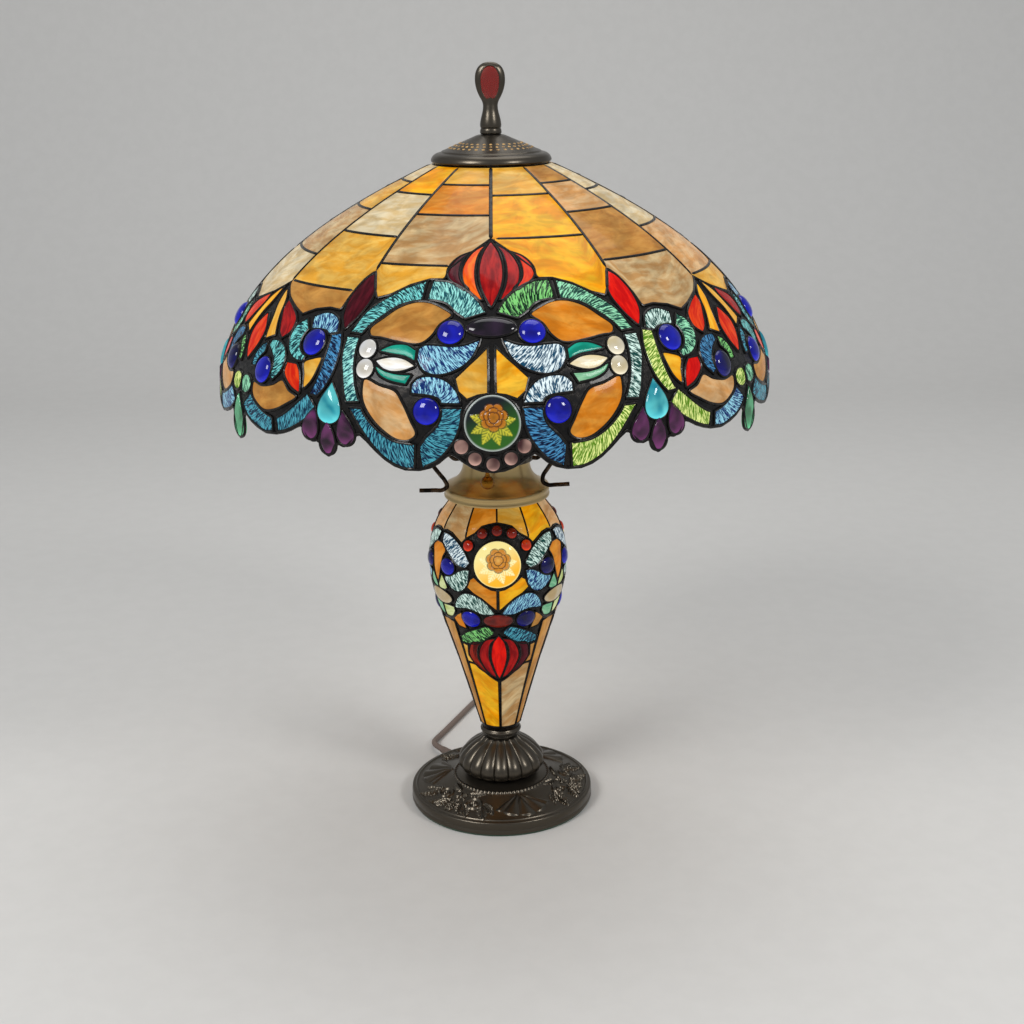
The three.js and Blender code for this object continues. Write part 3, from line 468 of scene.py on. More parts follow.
class Stock:
    """Collects surface grids and turns them into one object."""

    def __init__(self) -> None:
        """Starts empty."""
        self.points: list[np.ndarray] = []
        self.faces: list[np.ndarray] = []
        self.layers: dict[str, list[np.ndarray]] = {"tint_a": [], "tint_b": [], "grain": []}
        self.total = 0

    def grid(self, places: np.ndarray, round_u: bool = True, round_v: bool = True,
             tint: "Tint | tuple[np.ndarray, np.ndarray] | None" = None,
             grain: np.ndarray | None = None, caps: bool = False) -> None:
        """Adds a sheet of four-sided faces.

        Args:
            places: an array (rows, columns, 3) in millimetres.
            round_u: the last row joins the first one.
            round_v: the last column joins the first one.
            tint: the glass colour, or a pair of colour arrays (rows, columns, 4), or None for
                what isn't glass.
            grain: an array (rows, columns, 3) for the glass finish.
            caps: the columns are a closed section, so the first and last row are closed off by
                strips between its two halves.
        """
        rows, columns = places.shape[:2]
        index = np.arange(rows * columns).reshape(rows, columns) + self.total
        wrapped = index
        if round_u:
            wrapped = np.vstack([wrapped, wrapped[:1]])
        if round_v:
            wrapped = np.hstack([wrapped, wrapped[:, :1]])
        quads = np.stack([wrapped[:-1, :-1], wrapped[1:, :-1], wrapped[1:, 1:], wrapped[:-1, 1:]],
                         axis=-1).reshape(-1, 4)
        self.faces.append(quads)
        if caps:
            half = columns // 2
            for row, flip in ((index[0], False), (index[-1], True)):
                far = row[::-1]
                strip = np.stack([row[: half - 1], row[1:half], far[1:half], far[: half - 1]],
                                 axis=-1)
                self.faces.append(strip[:, ::-1] if flip else strip)
        self.points.append(places.reshape(-1, 3))
        self.total += rows * columns
        if tint is not None:
            pair = tint.pair if isinstance(tint, Tint) else tint
            for name, colour in zip(("tint_a", "tint_b"), pair):
                spread = np.broadcast_to(colour, (rows, columns, 4))
                self.layers[name].append(spread.reshape(-1, 4))
            self.layers["grain"].append(grain.reshape(-1, 3))

    def build(self, name: str, finish: Finish, crease_deg: float = 42.0) -> bpy.types.Object:
        """Makes the object, with welded seams and its faces turned outwards.

        Args:
            name: the piece's name.
            finish: its finish.
            crease_deg: edges sharper than this stay sharp.

        Returns:
            The new object.
        """
        mesh = bpy.data.meshes.new(name)
        co = np.vstack(self.points) * MM
        faces = np.vstack(self.faces)
        mesh.from_pydata(co.tolist(), [], faces.tolist())
        for layer, kind, field_name in (("tint_a", "FLOAT_COLOR", "color"),
                                        ("tint_b", "FLOAT_COLOR", "color"),
                                        ("grain", "FLOAT_VECTOR", "vector")):
            if self.layers[layer]:
                values = np.vstack(self.layers[layer]).astype(np.float32)
                made = mesh.attributes.new(layer, kind, "POINT")
                made.data.foreach_set(field_name, values.ravel())
        work = bmesh.new()
        work.from_mesh(mesh)
        bmesh.ops.remove_doubles(work, verts=work.verts, dist=2e-7)
        bmesh.ops.dissolve_degenerate(work, dist=1e-8, edges=work.edges)
        bmesh.ops.recalc_face_normals(work, faces=work.faces)
        work.to_mesh(mesh)
        work.free()
        mesh.polygons.foreach_set("use_smooth", np.ones(len(mesh.polygons), bool))
        mesh.set_sharp_from_angle(angle=math.radians(crease_deg))
        mesh.materials.append(finish.material)
        made_object = bpy.data.objects.new(name, mesh)
        bpy.context.scene.collection.objects.link(made_object)
        LOG.info("%s: %d faces", name, len(mesh.polygons))
        return made_object


def lathe(outline: Points, segments: int = 128, lobes: Callable | None = None) -> np.ndarray:
    """A closed outline of (radius, height) turned about the lamp's axis.

    Args:
        outline: the outline in order; one that starts and ends on the axis is closed by it.
        segments: steps round the axis.
        lobes: changes (radius, height, angle in radians) into a new radius and height.

    Returns:
        An array (segments, places, 3).
    """
    line = np.array(outline, float)
    angle = np.linspace(0, 2 * np.pi, segments, endpoint=False)[:, None]
    radius = np.broadcast_to(line[:, 0], (segments, len(line)))
    height = np.broadcast_to(line[:, 1], (segments, len(line)))
    if lobes:
        radius, height = lobes(radius, height, angle)
    return np.stack([radius * np.sin(angle), -radius * np.cos(angle), height], axis=-1)


def rounded(outline: Points, step: float = 0.6) -> list[tuple[float, float]]:
    """The outline with places every step millimetres, so that a turned piece is smooth."""
    line = np.array(outline, float)
    found = []
    for start, end in zip(line[:-1], line[1:]):
        count = max(1, int(np.linalg.norm(end - start) / step))
        found += [tuple(start + (end - start) * k / count) for k in range(count)]
    return found + [tuple(line[-1])]


def swept(path: np.ndarray, radius: "float | np.ndarray", sides: int = 12,
          closed: bool = False) -> np.ndarray:
    """A round bar along a path. The section is carried along without twist.

    Args:
        path: (places, 3) in millimetres.
        radius: one radius or one for each place.
        sides: sides of the section.
        closed: the path is a loop.

    Returns:
        An array (places, sides, 3).
    """
    ahead = np.roll(path, -1, axis=0) if closed else np.vstack([path[1:], path[-1:]])
    behind = np.roll(path, 1, axis=0) if closed else np.vstack([path[:1], path[:-1]])
    tangent = ahead - behind
    tangent /= np.linalg.norm(tangent, axis=1)[:, None]
    side = np.empty_like(path)
    guess = np.cross(tangent[0], (0.0, 0.0, 1.0))
    if np.linalg.norm(guess) < 1e-3:
        guess = np.cross(tangent[0], (0.0, 1.0, 0.0))
    side[0] = guess / np.linalg.norm(guess)
    for k in range(1, len(path)):
        turned = side[k - 1] - tangent[k] * (side[k - 1] @ tangent[k])
        side[k] = turned / np.linalg.norm(turned)
    up = np.cross(side, tangent)
    angle = np.linspace(0, 2 * np.pi, sides, endpoint=False)
    reach = np.broadcast_to(radius, len(path))[:, None, None]
    ring = side[:, None] * np.cos(angle)[None, :, None] + up[:, None] * np.sin(angle)[None, :, None]
    return path[:, None] + ring * reach


def capped(bar: np.ndarray) -> np.ndarray:
    """The bar with both ends drawn in to a point, which closes it."""
    first = np.repeat(bar[:1].mean(axis=1, keepdims=True), bar.shape[1], axis=1)
    last = np.repeat(bar[-1:].mean(axis=1, keepdims=True), bar.shape[1], axis=1)
    return np.vstack([first, bar, last])


# ---------------------------------------------------------------- walls of glass
class Wall:
    """A glass wall, the same all round: the line of its outer face from the top down."""

    def __init__(self, line: np.ndarray, limit: float = 1000.0) -> None:
        """Measures the line.

        Args:
            line: (radius, height) places from the top down.
            limit: the largest radius that anything on the wall may reach.
        """
        step = np.linalg.norm(np.diff(line, axis=0), axis=1)
        self.down = np.concatenate([[0.0], np.cumsum(step)])
        self.length = float(self.down[-1])
        self.line = line
        self.limit = limit
        self.tangent = np.gradient(line, self.down, axis=0)
        self.tangent /= np.linalg.norm(self.tangent, axis=1)[:, None]

    def radius(self, down: "float | np.ndarray") -> np.ndarray:
        """Radius of the outer face at that way down."""
        return np.interp(down, self.down, self.line[:, 0])

    def degrees(self, width: "float | np.ndarray", down: "float | np.ndarray") -> np.ndarray:
        """The angle that a width in millimetres takes at that way down."""
        return np.degrees(width / self.radius(down))

    def normal(self, angle: np.ndarray, down: np.ndarray) -> np.ndarray:
        """Outward direction at places on the wall."""
        along_r = np.interp(down, self.down, self.tangent[:, 0])
        along_z = np.interp(down, self.down, self.tangent[:, 1])
        turn = np.radians(angle)
        return np.stack([-along_z * np.sin(turn), along_z * np.cos(turn), along_r], axis=-1)

    def place(self, angle: np.ndarray, down: np.ndarray,
              off: "float | np.ndarray") -> np.ndarray:
        """Points on or near the wall.

        The point is on the line at that way down, moved by off along the outward normal, and
        turned about the axis by the angle.

        Args:
            angle: degrees.
            down: millimetres along the line.
            off: millimetres outwards from the outer face.

        Returns:
            An array (…, 3) in millimetres.
        """
        along_r = np.interp(down, self.down, self.tangent[:, 0])
        along_z = np.interp(down, self.down, self.tangent[:, 1])
        radius = np.minimum(self.radius(down) - along_z * off, self.limit)
        height = np.interp(down, self.down, self.line[:, 1]) + along_r * off
        turn = np.radians(angle)
        return np.stack([radius * np.sin(turn), -radius * np.cos(turn), height], axis=-1)


@dataclass(frozen=True)
class Ruled:
    """A piece of glass between two lines that run the same way."""

    first: Points
    second: Points
    finish: Finish
    tints: tuple[Tint, Tint]


@dataclass(frozen=True)
class Pane:
    """A piece of glass given by its outline."""

    outline: Points
    finish: Finish
    tints: tuple[Tint, Tint]
    corners: bool = False


@dataclass(frozen=True)
class Gem:
    """A cast jewel: oval, or a drop with its point up."""

    centre: tuple[float, float]
    half: tuple[float, float]
    tints: tuple[Tint, Tint]
    rise: float = 3.0
    drop: bool = False
    lean_deg: float = 0.0


Cell = Ruled | Pane | Gem


@dataclass
class LeadedGlass:
    """Glass cells and the lead between them, on one wall."""

    wall: Wall
    body: str
    prefix: str
    edge_off: float = -0.75      # glass at its rim, under the lead
    crown_off: float = -0.2      # glass at its middle
    back_off: float = -2.6
    shell_off: float = -1.1
    shell_back_off: float = -2.0
    bead_half_width: float = 1.2
    grow: float = 0.75           # the glass goes this far under its lead
    rng: np.random.Generator = field(default_factory=lambda: np.random.default_rng(SEED))
    glass: dict[Finish, Stock] = field(default_factory=dict)
    lead: list[Stock] = field(default_factory=lambda: [Stock(), Stock(), Stock()])

    def stock(self, finish: Finish) -> Stock:
        """The stock of glass in that finish."""
        return self.glass.setdefault(finish, Stock())

    def bead(self, path: np.ndarray, closed: bool = True, half_width: float | None = None,
             off: float = -1.05, rise: float = 1.25, sides: int = 8) -> None:
        """Lays a lead bead along a line on the wall.

        Its section is an oval, half_width wide to each side and rise high, that stands upright
        on the wall. An open bead narrows to a point over its last millimetre.

        Args:
            path: (angle, down) places.
            closed: the line is a loop.
            half_width: half of its width.
            off: level of its middle.
            rise: its height above that level.
            sides: sides of its section.
        """
        reach = self.bead_half_width if half_width is None else half_width
        middle = self.wall.place(path[:, 0], path[:, 1], off)
        normal = self.wall.normal(path[:, 0], path[:, 1])
        ahead = np.roll(middle, -1, axis=0) if closed else np.vstack([middle[1:], middle[-1:]])
        behind = np.roll(middle, 1, axis=0) if closed else np.vstack([middle[:1], middle[:-1]])
        tangent = ahead - behind
        tangent /= np.maximum(np.linalg.norm(tangent, axis=1), 1e-9)[:, None]
        side = np.cross(normal, tangent)
        turn = np.linspace(0, 2 * np.pi, sides, endpoint=False)
        taper = np.ones(len(path))
        if not closed:
            taper[[0, -1]] = 0.0
        ring = (side[:, None] * (reach * np.cos(turn))[None, :, None]
                + normal[:, None] * (rise * np.sin(turn))[None, :, None])
        third = int(round(float(path[:, 0].mean()) / 120.0)) % 3
        self.lead[third].grid(middle[:, None] + ring * taper[:, None, None], closed, True)

    def ruled(self, cell: Ruled, turn: Callable, tint: Tint, bead: bool = True,
              places: int = 26, across: int = 8) -> None:
        """Adds a slab of glass between two lines, and its bead."""
        first = smooth(cell.first, places)
        second = smooth(cell.second, places)
        self.slab(first, second, turn, tint, cell.finish, across)
        if bead:
            first, second = self.widened(first, second)
            loop = np.vstack([first, second[::-1]])
            self.bead(np.stack([turn(loop[:, 0]), loop[:, 1]], axis=1))

    def widened(self, first: np.ndarray, second: np.ndarray) -> tuple[np.ndarray, np.ndarray]:
        """Moves two lines apart by the part of the glass that lies under the lead."""
        scale = np.array([np.radians(1) * self.wall.radius(first[:, 1].mean()), 1.0])
        apart = (first - second) * scale
        width = np.linalg.norm(apart, axis=1)[:, None]
        push = self.grow * 0.6 * apart / np.maximum(width, 1.5) / scale
        return first + push, second - push

    def slab(self, first: np.ndarray, second: np.ndarray, turn: Callable, tint: Tint,
             finish: Finish, across: int = 8) -> None:
        """Adds a closed slab of glass that swells between two lines.

        The face stands at edge_off along the lines and rises to crown_off between them, by one
        less the fourth power of the way from the middle, and dies away at both ends.

        Args:
            first: one line, (angle, down) places.
            second: the other line.
            turn: turns the motif's angles into angles on the lamp.
            tint: the glass colour.
            finish: the glass finish.
            across: places between the lines.
        """
        first, second = self.widened(first, second)
        share = np.linspace(0, 1, across)
        sheet = first[:, None] * (1 - share[None, :, None]) + second[:, None] * share[None, :, None]
        along = np.linspace(-1, 1, len(first))[:, None]
        swell = (1 - np.abs(2 * share[None] - 1) ** 4) * (1 - along**12)
        off = self.edge_off + (self.crown_off - self.edge_off) * swell
        sheet_full = np.concatenate([sheet, sheet[:, ::-1]], axis=1)
        off_full = np.concatenate([off, np.full_like(off, self.back_off)], axis=1)
        angle = turn(sheet_full[..., 0])
        places = self.wall.place(angle, sheet_full[..., 1], off_full)
        middle = (places[:, 0] + places[:, across - 1]) / 2
        run = np.concatenate([[0.0], np.cumsum(np.linalg.norm(np.diff(middle, axis=0), axis=1))])
        width = np.linalg.norm(places[:, 0] - places[:, across - 1], axis=1)
        shift = np.concatenate([share, share[::-1]]) - 0.5
        grain = np.stack([
            np.broadcast_to(run[:, None], off_full.shape),
            width[:, None] * shift[None],
            np.full(off_full.shape, self.rng.uniform(0, 40)),
        ], axis=-1)
        self.stock(finish).grid(places, False, True, tint, grain, caps=True)

    def pane(self, cell: Pane, turn: Callable, tint: Tint) -> None:
        """Adds a pane that is drawn in rings from its outline to its middle, and its bead."""
        count = 72
        draw = even if cell.corners else smooth
        outline = draw(cell.outline, count, closed=True)
        self.polar(outline, turn, tint, cell.finish, None)

    def gem(self, cell: Gem, turn: Callable, tint: Tint) -> None:
        """Adds a jewel whose outline is an oval or a drop.

        With t going round from the top, an oval is (sin t, -cos t); a drop has its width
        multiplied by sin(t / 2) to the power 1.3, which gives it a point at the top.
        """
        t = np.linspace(0, 2 * np.pi, 48, endpoint=False)
        across = np.sin(t)
        if cell.drop:
            across = across * np.sin(t / 2) ** 1.3 * 1.42
        across = across * cell.half[0]
        along = -np.cos(t) * cell.half[1]
        lean = math.radians(cell.lean_deg)
        x = across * math.cos(lean) - along * math.sin(lean)
        y = across * math.sin(lean) + along * math.cos(lean)
        down = cell.centre[1] + y
        angle = cell.centre[0] + self.wall.degrees(x, cell.centre[1])
        self.polar(np.stack([angle, down], axis=1), turn, tint, Finish.JEWEL, cell.rise)

    def polar(self, outline: np.ndarray, turn: Callable, tint: Tint, finish: Finish,
              rise: float | None) -> None:
        """Adds a closed piece drawn in rings about its middle, and its bead.

        With k from 0 at the middle to 1 at the outline, a pane's face follows 1 - k^4, and a
        jewel's dome follows the square root of 1 - k^2.2. A jewel gathers the light that comes
        through it near its lower rim, so it glows more and paler there.

        Args:
            outline: (angle, down) places.
            turn: turns the motif's angles into angles on the lamp.
            tint: the glass colour.
            finish: the glass finish.
            rise: the dome's height over the wall, or None for a pane.
        """
        middle = outline.mean(axis=0)
        scale = np.array([np.radians(1) * self.wall.radius(middle[1]), 1.0])
        spoke = (outline - middle) * scale
        reach = np.linalg.norm(spoke, axis=1)[:, None]
        grown = middle + spoke * (1 + self.grow * 0.6 / np.maximum(reach, 1.0)) / scale
        if rise is None:
            k = np.array([0.0, 0.25, 0.5, 0.7, 0.84, 0.94, 1.0])
            face = self.edge_off + (self.crown_off - self.edge_off) * (1 - k**4)
        else:
            k = np.array([0.0, 0.2, 0.4, 0.58, 0.73, 0.85, 0.93, 0.98, 1.0])
            face = self.edge_off + (rise - self.edge_off) * np.sqrt(np.maximum(1 - k**2.2, 0))
        k_full = np.concatenate([k, k[::-1]])
        off = np.concatenate([face, np.full(len(k), self.back_off)])
        sheet = middle + (grown - middle)[:, None] * k_full[None, :, None]
        angle = turn(sheet[..., 0])
        places = self.wall.place(angle, sheet[..., 1], np.broadcast_to(off, angle.shape))
        lean = self.rng.uniform(-0.6, 0.6)
        local = (sheet - middle) * scale
        grain = np.stack([
            local[..., 0] * math.cos(lean) + local[..., 1] * math.sin(lean) + 40,
            local[..., 1] * math.cos(lean) - local[..., 0] * math.sin(lean) + 40,
            np.full(angle.shape, self.rng.uniform(0, 40)),
        ], axis=-1)
        pair = tint.pair
        if rise is not None:
            lit = np.clip(local[..., 1] / reach.max() * 0.9 + 0.12, 0, 1) ** 1.5 * k_full**1.6
            first = pair[0] + (pair[1] - pair[0]) * 0.85 * lit[..., None]
            first[..., 3] = pair[0][3] * (0.5 + 1.7 * lit)
            pair = (first, pair[1])
        self.stock(finish).grid(places, True, False, pair, grain)
        self.bead(np.stack([turn(grown[:, 0]), grown[:, 1]], axis=1))

    def lay(self, cell: Cell, turn: Callable, side: int) -> None:
        """Adds one cell with the tint of that side: 0 right of the motif's middle, 1 left."""
        tint = cell.tints[side]
        if isinstance(cell, Ruled):
            self.ruled(cell, turn, tint)
        elif isinstance(cell, Pane):
            self.pane(cell, turn, tint)
        else:
            self.gem(cell, turn, tint)

    def motifs(self, halves: Iterable[Cell], middles: Iterable[Cell]) -> None:
        """Lays a pattern three times round, each half with its mirror image.

        Args:
            halves: cells from the middle of motif A, at 0, to the middle of motif B, at 60.
            middles: cells that stand on either middle line.
        """
        for repeat in range(3):
            start = 120.0 * repeat
            for cell in halves:
                self.lay(cell, lambda a, s=start: s + a, 0)
                self.lay(cell, lambda a, s=start: s + 120.0 - a, 1)
            for cell in middles:
                self.lay(cell, lambda a, s=start: s + a, 0)

    def shell(self, edge: Callable, rows: int = 90, columns: int = 480) -> None:
        """Adds the thin lead shell that shows between the cells.

        Args:
            edge: the lower edge as millimetres down the wall at each angle.
            rows: rows of faces down the wall.
            columns: columns of faces round it.
        """
        angle = np.linspace(0, 360, columns, endpoint=False)[:, None]
        share = np.linspace(0, 1, rows)
        share = np.concatenate([share, share[::-1]])[None]
        off = np.repeat([self.shell_off, self.shell_back_off], rows)[None]
        down = share * edge(angle)
        angle = np.broadcast_to(angle, down.shape)
        stock = Stock()
        stock.grid(self.wall.place(angle, down, np.broadcast_to(off, down.shape)), True, True)
        self.base = stock

    def medallion(self, centre: tuple[float, float], radius: float, rise: float,
                  palette: Sequence[str], glow: float) -> Stock:
        """A pressed glass roundel with a flower over a fan of leaves.

        The face is a shallow dome. The flower has three rings of petals, each with an edge that
        swells like the absolute cosine of half its count times the angle about the heart. The
        leaves are spindles with slanting veins that fan out below it.

        Args:
            centre: its middle on the wall.
            radius: its radius in millimetres.
            rise: height of the dome over the wall.
            palette: rim (a pale ring of painted highlight), upper ground, lower ground, petals,
                lines of the flower, leaves; on the shade's roundel the dark upper ground is painted
                shade.
            glow: how much it glows.

        Returns:
            The stock that holds it.
        """
        turn = np.linspace(0, 2 * np.pi, 160, endpoint=False)[:, None]
        k = np.linspace(0, 1, 44)[None]
        x = radius * k * np.sin(turn)
        y = -radius * k * np.cos(turn)
        heart = np.array([0.04, -0.2]) * radius
        far = np.hypot(x - heart[0], y - heart[1]) / radius
        spin = np.arctan2(x - heart[0], y - heart[1])
        petal, line = np.zeros_like(far), np.zeros_like(far)
        for reach, count, start in ((0.5, 7, 0.0), (0.34, 5, 0.6), (0.2, 3, 0.2)):
            edge = reach * (0.8 + 0.2 * np.abs(np.cos((spin + start) * count / 2)) ** 0.6)
            inside = np.clip((edge - far) * 22, 0, 1)
            seam = np.clip(1 - np.abs(edge - far) * 30, 0, 1)
            fold = 1 - np.abs(np.cos((spin + start) * count / 2))
            seam = np.maximum(seam, np.clip(fold * 9 - 7.6, 0, 1) * inside * (far > reach * 0.5))
            petal = np.maximum(petal, inside * (0.55 + 0.45 * np.clip(far / reach, 0, 1)))
            line = np.maximum(line * (1 - inside), seam)
        covered = np.clip((0.42 - far) * 20, 0, 1)
        leaf, vein = np.zeros_like(far), np.zeros_like(far)
        for heading in (-1.9, -1.15, -0.45, 0.3, 1.0, 1.75):
            ahead = (x * math.sin(heading) + y * math.cos(heading)) / radius - 0.05
            aside = (x * math.cos(heading) - y * math.sin(heading)) / radius
            along = np.clip(ahead / 0.8, 0, 1)
            half = 0.2 * np.sin(np.pi * along**0.8)
            inside = np.clip((half - np.abs(aside)) * 26, 0, 1) * (1 - covered)
            leaf = np.maximum(leaf, inside)
            rib = np.cos((ahead - np.abs(aside) * 0.9) * 52) * 0.5 + 0.5
            vein = np.where(inside > 0.5, np.maximum(rib, np.abs(aside) < 0.02), vein)
        leaf = leaf * np.clip((0.9 - k) * 14, 0, 1)
        # The outer ring is a slight lip whose rim colour is a painted highlight.
        rim = np.clip((k - 0.9) * 16, 0, 1)
        off = self.edge_off + (rise - self.edge_off - 1.1) * np.sqrt(np.maximum(1 - k**4, 0))
        off = off + petal * 0.6 - line * 0.5 + leaf * (0.3 + 0.35 * vein) + rim * (1 - rim)
        colours = [rgb(code) for code in palette]
        # The ground darkens towards the top left: on the shade's roundel this is painted shade in
        # the clear glass over the real green lower ground.
        lower = np.clip(0.5 + y / radius * 0.8 + x / radius * 0.4, 0, 1)[..., None]
        shade = colours[1] * (1 - lower) + colours[2] * lower
        for mask, colour in ((leaf * (0.25 + 0.75 * vein), colours[5]), (petal, colours[3]),
                             (line, colours[4]), (rim, colours[0])):
            shade = shade * (1 - mask[..., None]) + colour * mask[..., None]
        tint = np.concatenate([shade, np.full((*shade.shape[:2], 1), glow)], axis=-1)
        sheet_down = centre[1] + y
        sheet_angle = centre[0] + self.wall.degrees(x, centre[1])
        front = self.wall.place(sheet_angle, sheet_down, off)
        back = self.wall.place(sheet_angle, sheet_down, np.full_like(off, self.back_off))
        places = np.concatenate([front, back[:, ::-1]], axis=1)
        both = np.concatenate([tint, tint[:, ::-1]], axis=1)
        grain = np.stack([np.concatenate([x, x[:, ::-1]], axis=1),
                          np.concatenate([y, y[:, ::-1]], axis=1),
                          np.zeros(both.shape[:2])], axis=-1)
        stock = Stock()
        stock.grid(places, True, False, (both, both), grain)
        self.bead(np.stack([centre[0] + self.wall.degrees(radius * 1.02 * np.sin(turn[:, 0]),
                                                          centre[1]),
                            centre[1] - radius * 1.02 * np.cos(turn[:, 0])], axis=1),
                  half_width=1.3)
        return stock

    def finish(self) -> list[bpy.types.Object]:
        """Turns what was laid into objects that ride on the body."""
        made = []
        for finish, stock in self.glass.items():
            made.append(self.dress(stock.build(f"{self.prefix}_{finish.name.lower()}_glass",
                                               finish)))
        for k, stock in enumerate(self.lead):
            made.append(self.dress(stock.build(f"{self.prefix}_lead_lines_{k + 1}", Finish.LEAD)))
        made.append(self.dress(self.base.build(f"{self.prefix}_lead_shell", Finish.LEAD)))
        return made

    def dress(self, piece: bpy.types.Object) -> bpy.types.Object:
        """Puts a piece on the body."""
        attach(piece, self.body)
        slot = "shade_glass" if self.body == "shade" else "urn_glass"
        return piece


def tints(right: Tint, left: Tint | None = None) -> tuple[Tint, Tint]:
    """The tint right of the motif's middle and the one left of it, the same if not given."""
    return right, left or right


# ---------------------------------------------------------------- shade
@dataclass
class Shade:
    """The domed shade: brickwork above, a band of motifs, and a scalloped lower edge.

    Three equal repeats of 120 degrees; motif A stands at 0 and motif B at 60.
    """

    top: tuple[float, float] = (47.0, 568.0)
    handle_one: tuple[float, float] = (142.9, 524.9)
    handle_two: tuple[float, float] = (229.0, 470.05)
    widest: tuple[float, float] = (229.0, 380.0)
    foot: tuple[float, float] = (228.4, 366.0)
    column_deg: float = 31.6
    medallion_down: float = 251.5
    medallion_radius: float = 20.5
    edge_line: Points = ((0, 287.4), (2, 286.4), (3.6, 284), (5, 280.4), (6.2, 276.6), (7.4, 274),
                         (8.4, 276), (9.8, 281), (11.4, 284.6), (13.4, 286.8), (16, 287),
                         (18, 284.6), (19.8, 280.4), (21.6, 274.6), (23.4, 268), (24.8, 264),
                         (25.6, 264.6), (26.4, 268.6), (27.4, 273), (28.4, 274), (29.4, 272.6),
                         (30.1, 274), (30.9, 280.6), (31.8, 282.8), (32.7, 280.6), (33.6, 274),
                         (34.4, 272.4), (35.4, 273.4), (36.6, 271.4), (37.6, 265), (38.4, 263.4),
                         (39.4, 264.8), (41.2, 268.6), (43.2, 271.6), (45.4, 274), (48.6, 275.4),
                         (51.6, 273.4), (54, 270.6), (56, 266.8), (57.2, 267.4), (57.8, 274),
                         (58.4, 282), (59.2, 286.8), (60, 288.4))
    brick_end: Points = ((0, 97), (3.5, 106), (7.5, 117), (11, 129), (11.6, 139), (15.4, 139.5),
                         (20, 145.5), (24.2, 155), (27.4, 159), (28.8, 152), (31.6, 134),
                         (33.4, 142), (34.9, 158), (35.6, 172), (38.9, 171), (43, 174),
                         (46.5, 180), (49.8, 176), (55.3, 168), (58.7, 160), (60, 156))
    odd_rows: tuple[float, ...] = (2, 43, 97, 154)
    even_rows: tuple[float, ...] = (2, 28, 69, 126)
    brick_tints: dict[int, tuple[Tint, ...]] = field(default_factory=lambda: {
        0: (Tint.HONEY, Tint.GOLD, Tint.GOLD, Tint.GOLD),
        1: (Tint.SAND, Tint.PEACH, Tint.SAND, Tint.BEIGE),
        2: (Tint.CREAM, Tint.CREAM, Tint.PEACH, Tint.HONEY),
        9: (Tint.CREAM, Tint.HONEY, Tint.BEIGE, Tint.CREAM),
        10: (Tint.GOLD, Tint.CREAM, Tint.HONEY, Tint.SAND),
        11: (Tint.HONEY, Tint.ORANGE_AMBER, Tint.BEIGE, Tint.HONEY),
    })

    def wall(self) -> Wall:
        """The wall's line: one cubic and one quadratic curve."""
        t = np.linspace(0, 1, 260)[:, None]
        p0, p1, p2, p3 = (np.array(p) for p in (self.top, self.handle_one, self.handle_two,
                                                self.widest))
        dome = p0 * (1 - t)**3 + 3 * p1 * t * (1 - t)**2 + 3 * p2 * t**2 * (1 - t) + p3 * t**3
        u = np.linspace(0, 1, 12)[1:, None]
        knee = np.array([self.widest[0], self.widest[1] - 7.0])
        skirt = p3 * (1 - u)**2 + 2 * knee * u * (1 - u) + np.array(self.foot) * u**2
        return Wall(np.vstack([dome, skirt]), WIDEST_ALLOWED)

    @staticmethod
    def folded(angle: np.ndarray) -> np.ndarray:
        """The angle in the half repeat from 0 to 60 that a place mirrors."""
        inside = np.mod(angle, 120.0)
        return np.where(inside > 60.0, 120.0 - inside, inside)

    def edge(self, angle: np.ndarray) -> np.ndarray:
        """How far down the wall the lower edge is."""
        table = np.array(self.edge_line)
        return np.interp(self.folded(angle), table[:, 0], table[:, 1])

    def brick_low(self, angle: np.ndarray) -> np.ndarray:
        """How far down the brickwork goes."""
        table = np.array(self.brick_end)
        return np.interp(self.folded(angle), table[:, 0], table[:, 1])

    def bricks(self, panel: LeadedGlass) -> None:
        """Lays the amber bricks and the lead lines between them."""
        turns = [self.column_deg, 60.0, 120.0 - self.column_deg, 120.0]
        rng = np.random.default_rng(SEED + 1)
        others = (Tint.BEIGE, Tint.SAND, Tint.HONEY, Tint.GOLD, Tint.CREAM, Tint.PEACH)
        for repeat in range(3):
            left = 0.0
            for column, right in enumerate(turns):
                start, end = 120.0 * repeat + left, 120.0 * repeat + right
                rows = self.even_rows if column % 2 else self.odd_rows
                for row, top in enumerate(rows):
                    low = rows[row + 1] if row + 1 < len(rows) else 1000.0
                    chosen = others[int(rng.integers(len(others)))]
                    tint = self.brick_tints.get(4 * repeat + column, (chosen,) * 4)[row]
                    self.brick(panel, start, end, top, low, tint)
                half_width = 1.75 if column == 3 else 1.4
                stop = float(self.brick_low(np.array(end))) + 1.0
                line = np.stack([np.full(30, end), np.linspace(0.5, stop, 30)], axis=1)
                panel.bead(line, closed=False, half_width=half_width)
                left = right
        angle = np.linspace(0, 360, 720, endpoint=False)
        panel.bead(np.stack([angle, self.brick_low(angle)], axis=1))

    def brick(self, panel: LeadedGlass, start: float, end: float, top: float, low: float,
              tint: Tint) -> None:
        """Lays one brick where it is at least 3 mm high, and the lead line over it."""
        angle = np.linspace(start + 0.05, end - 0.05, 200)
        floor = self.brick_low(angle)
        inside = angle[floor - top > 3.0]
        if len(inside) < 12 or float((floor - top).max()) < 12.0:
            return
        angle = np.linspace(inside[0], inside[-1], 30)
        floor = self.brick_low(angle)
        bottom = floor if floor.max() - low < 12.0 else np.minimum(floor, low)
        first = np.stack([angle, np.full(30, top + 0.3)], axis=1)
        second = np.stack([angle, bottom - 0.3], axis=1)
        panel.slab(first, second, lambda a: a, tint, Finish.AMBER, across=14)
        if top > 5.0:
            line = np.stack([np.linspace(inside[0], inside[-1], 30), np.full(30, top)], axis=1)
            panel.bead(line, closed=False, half_width=1.4)

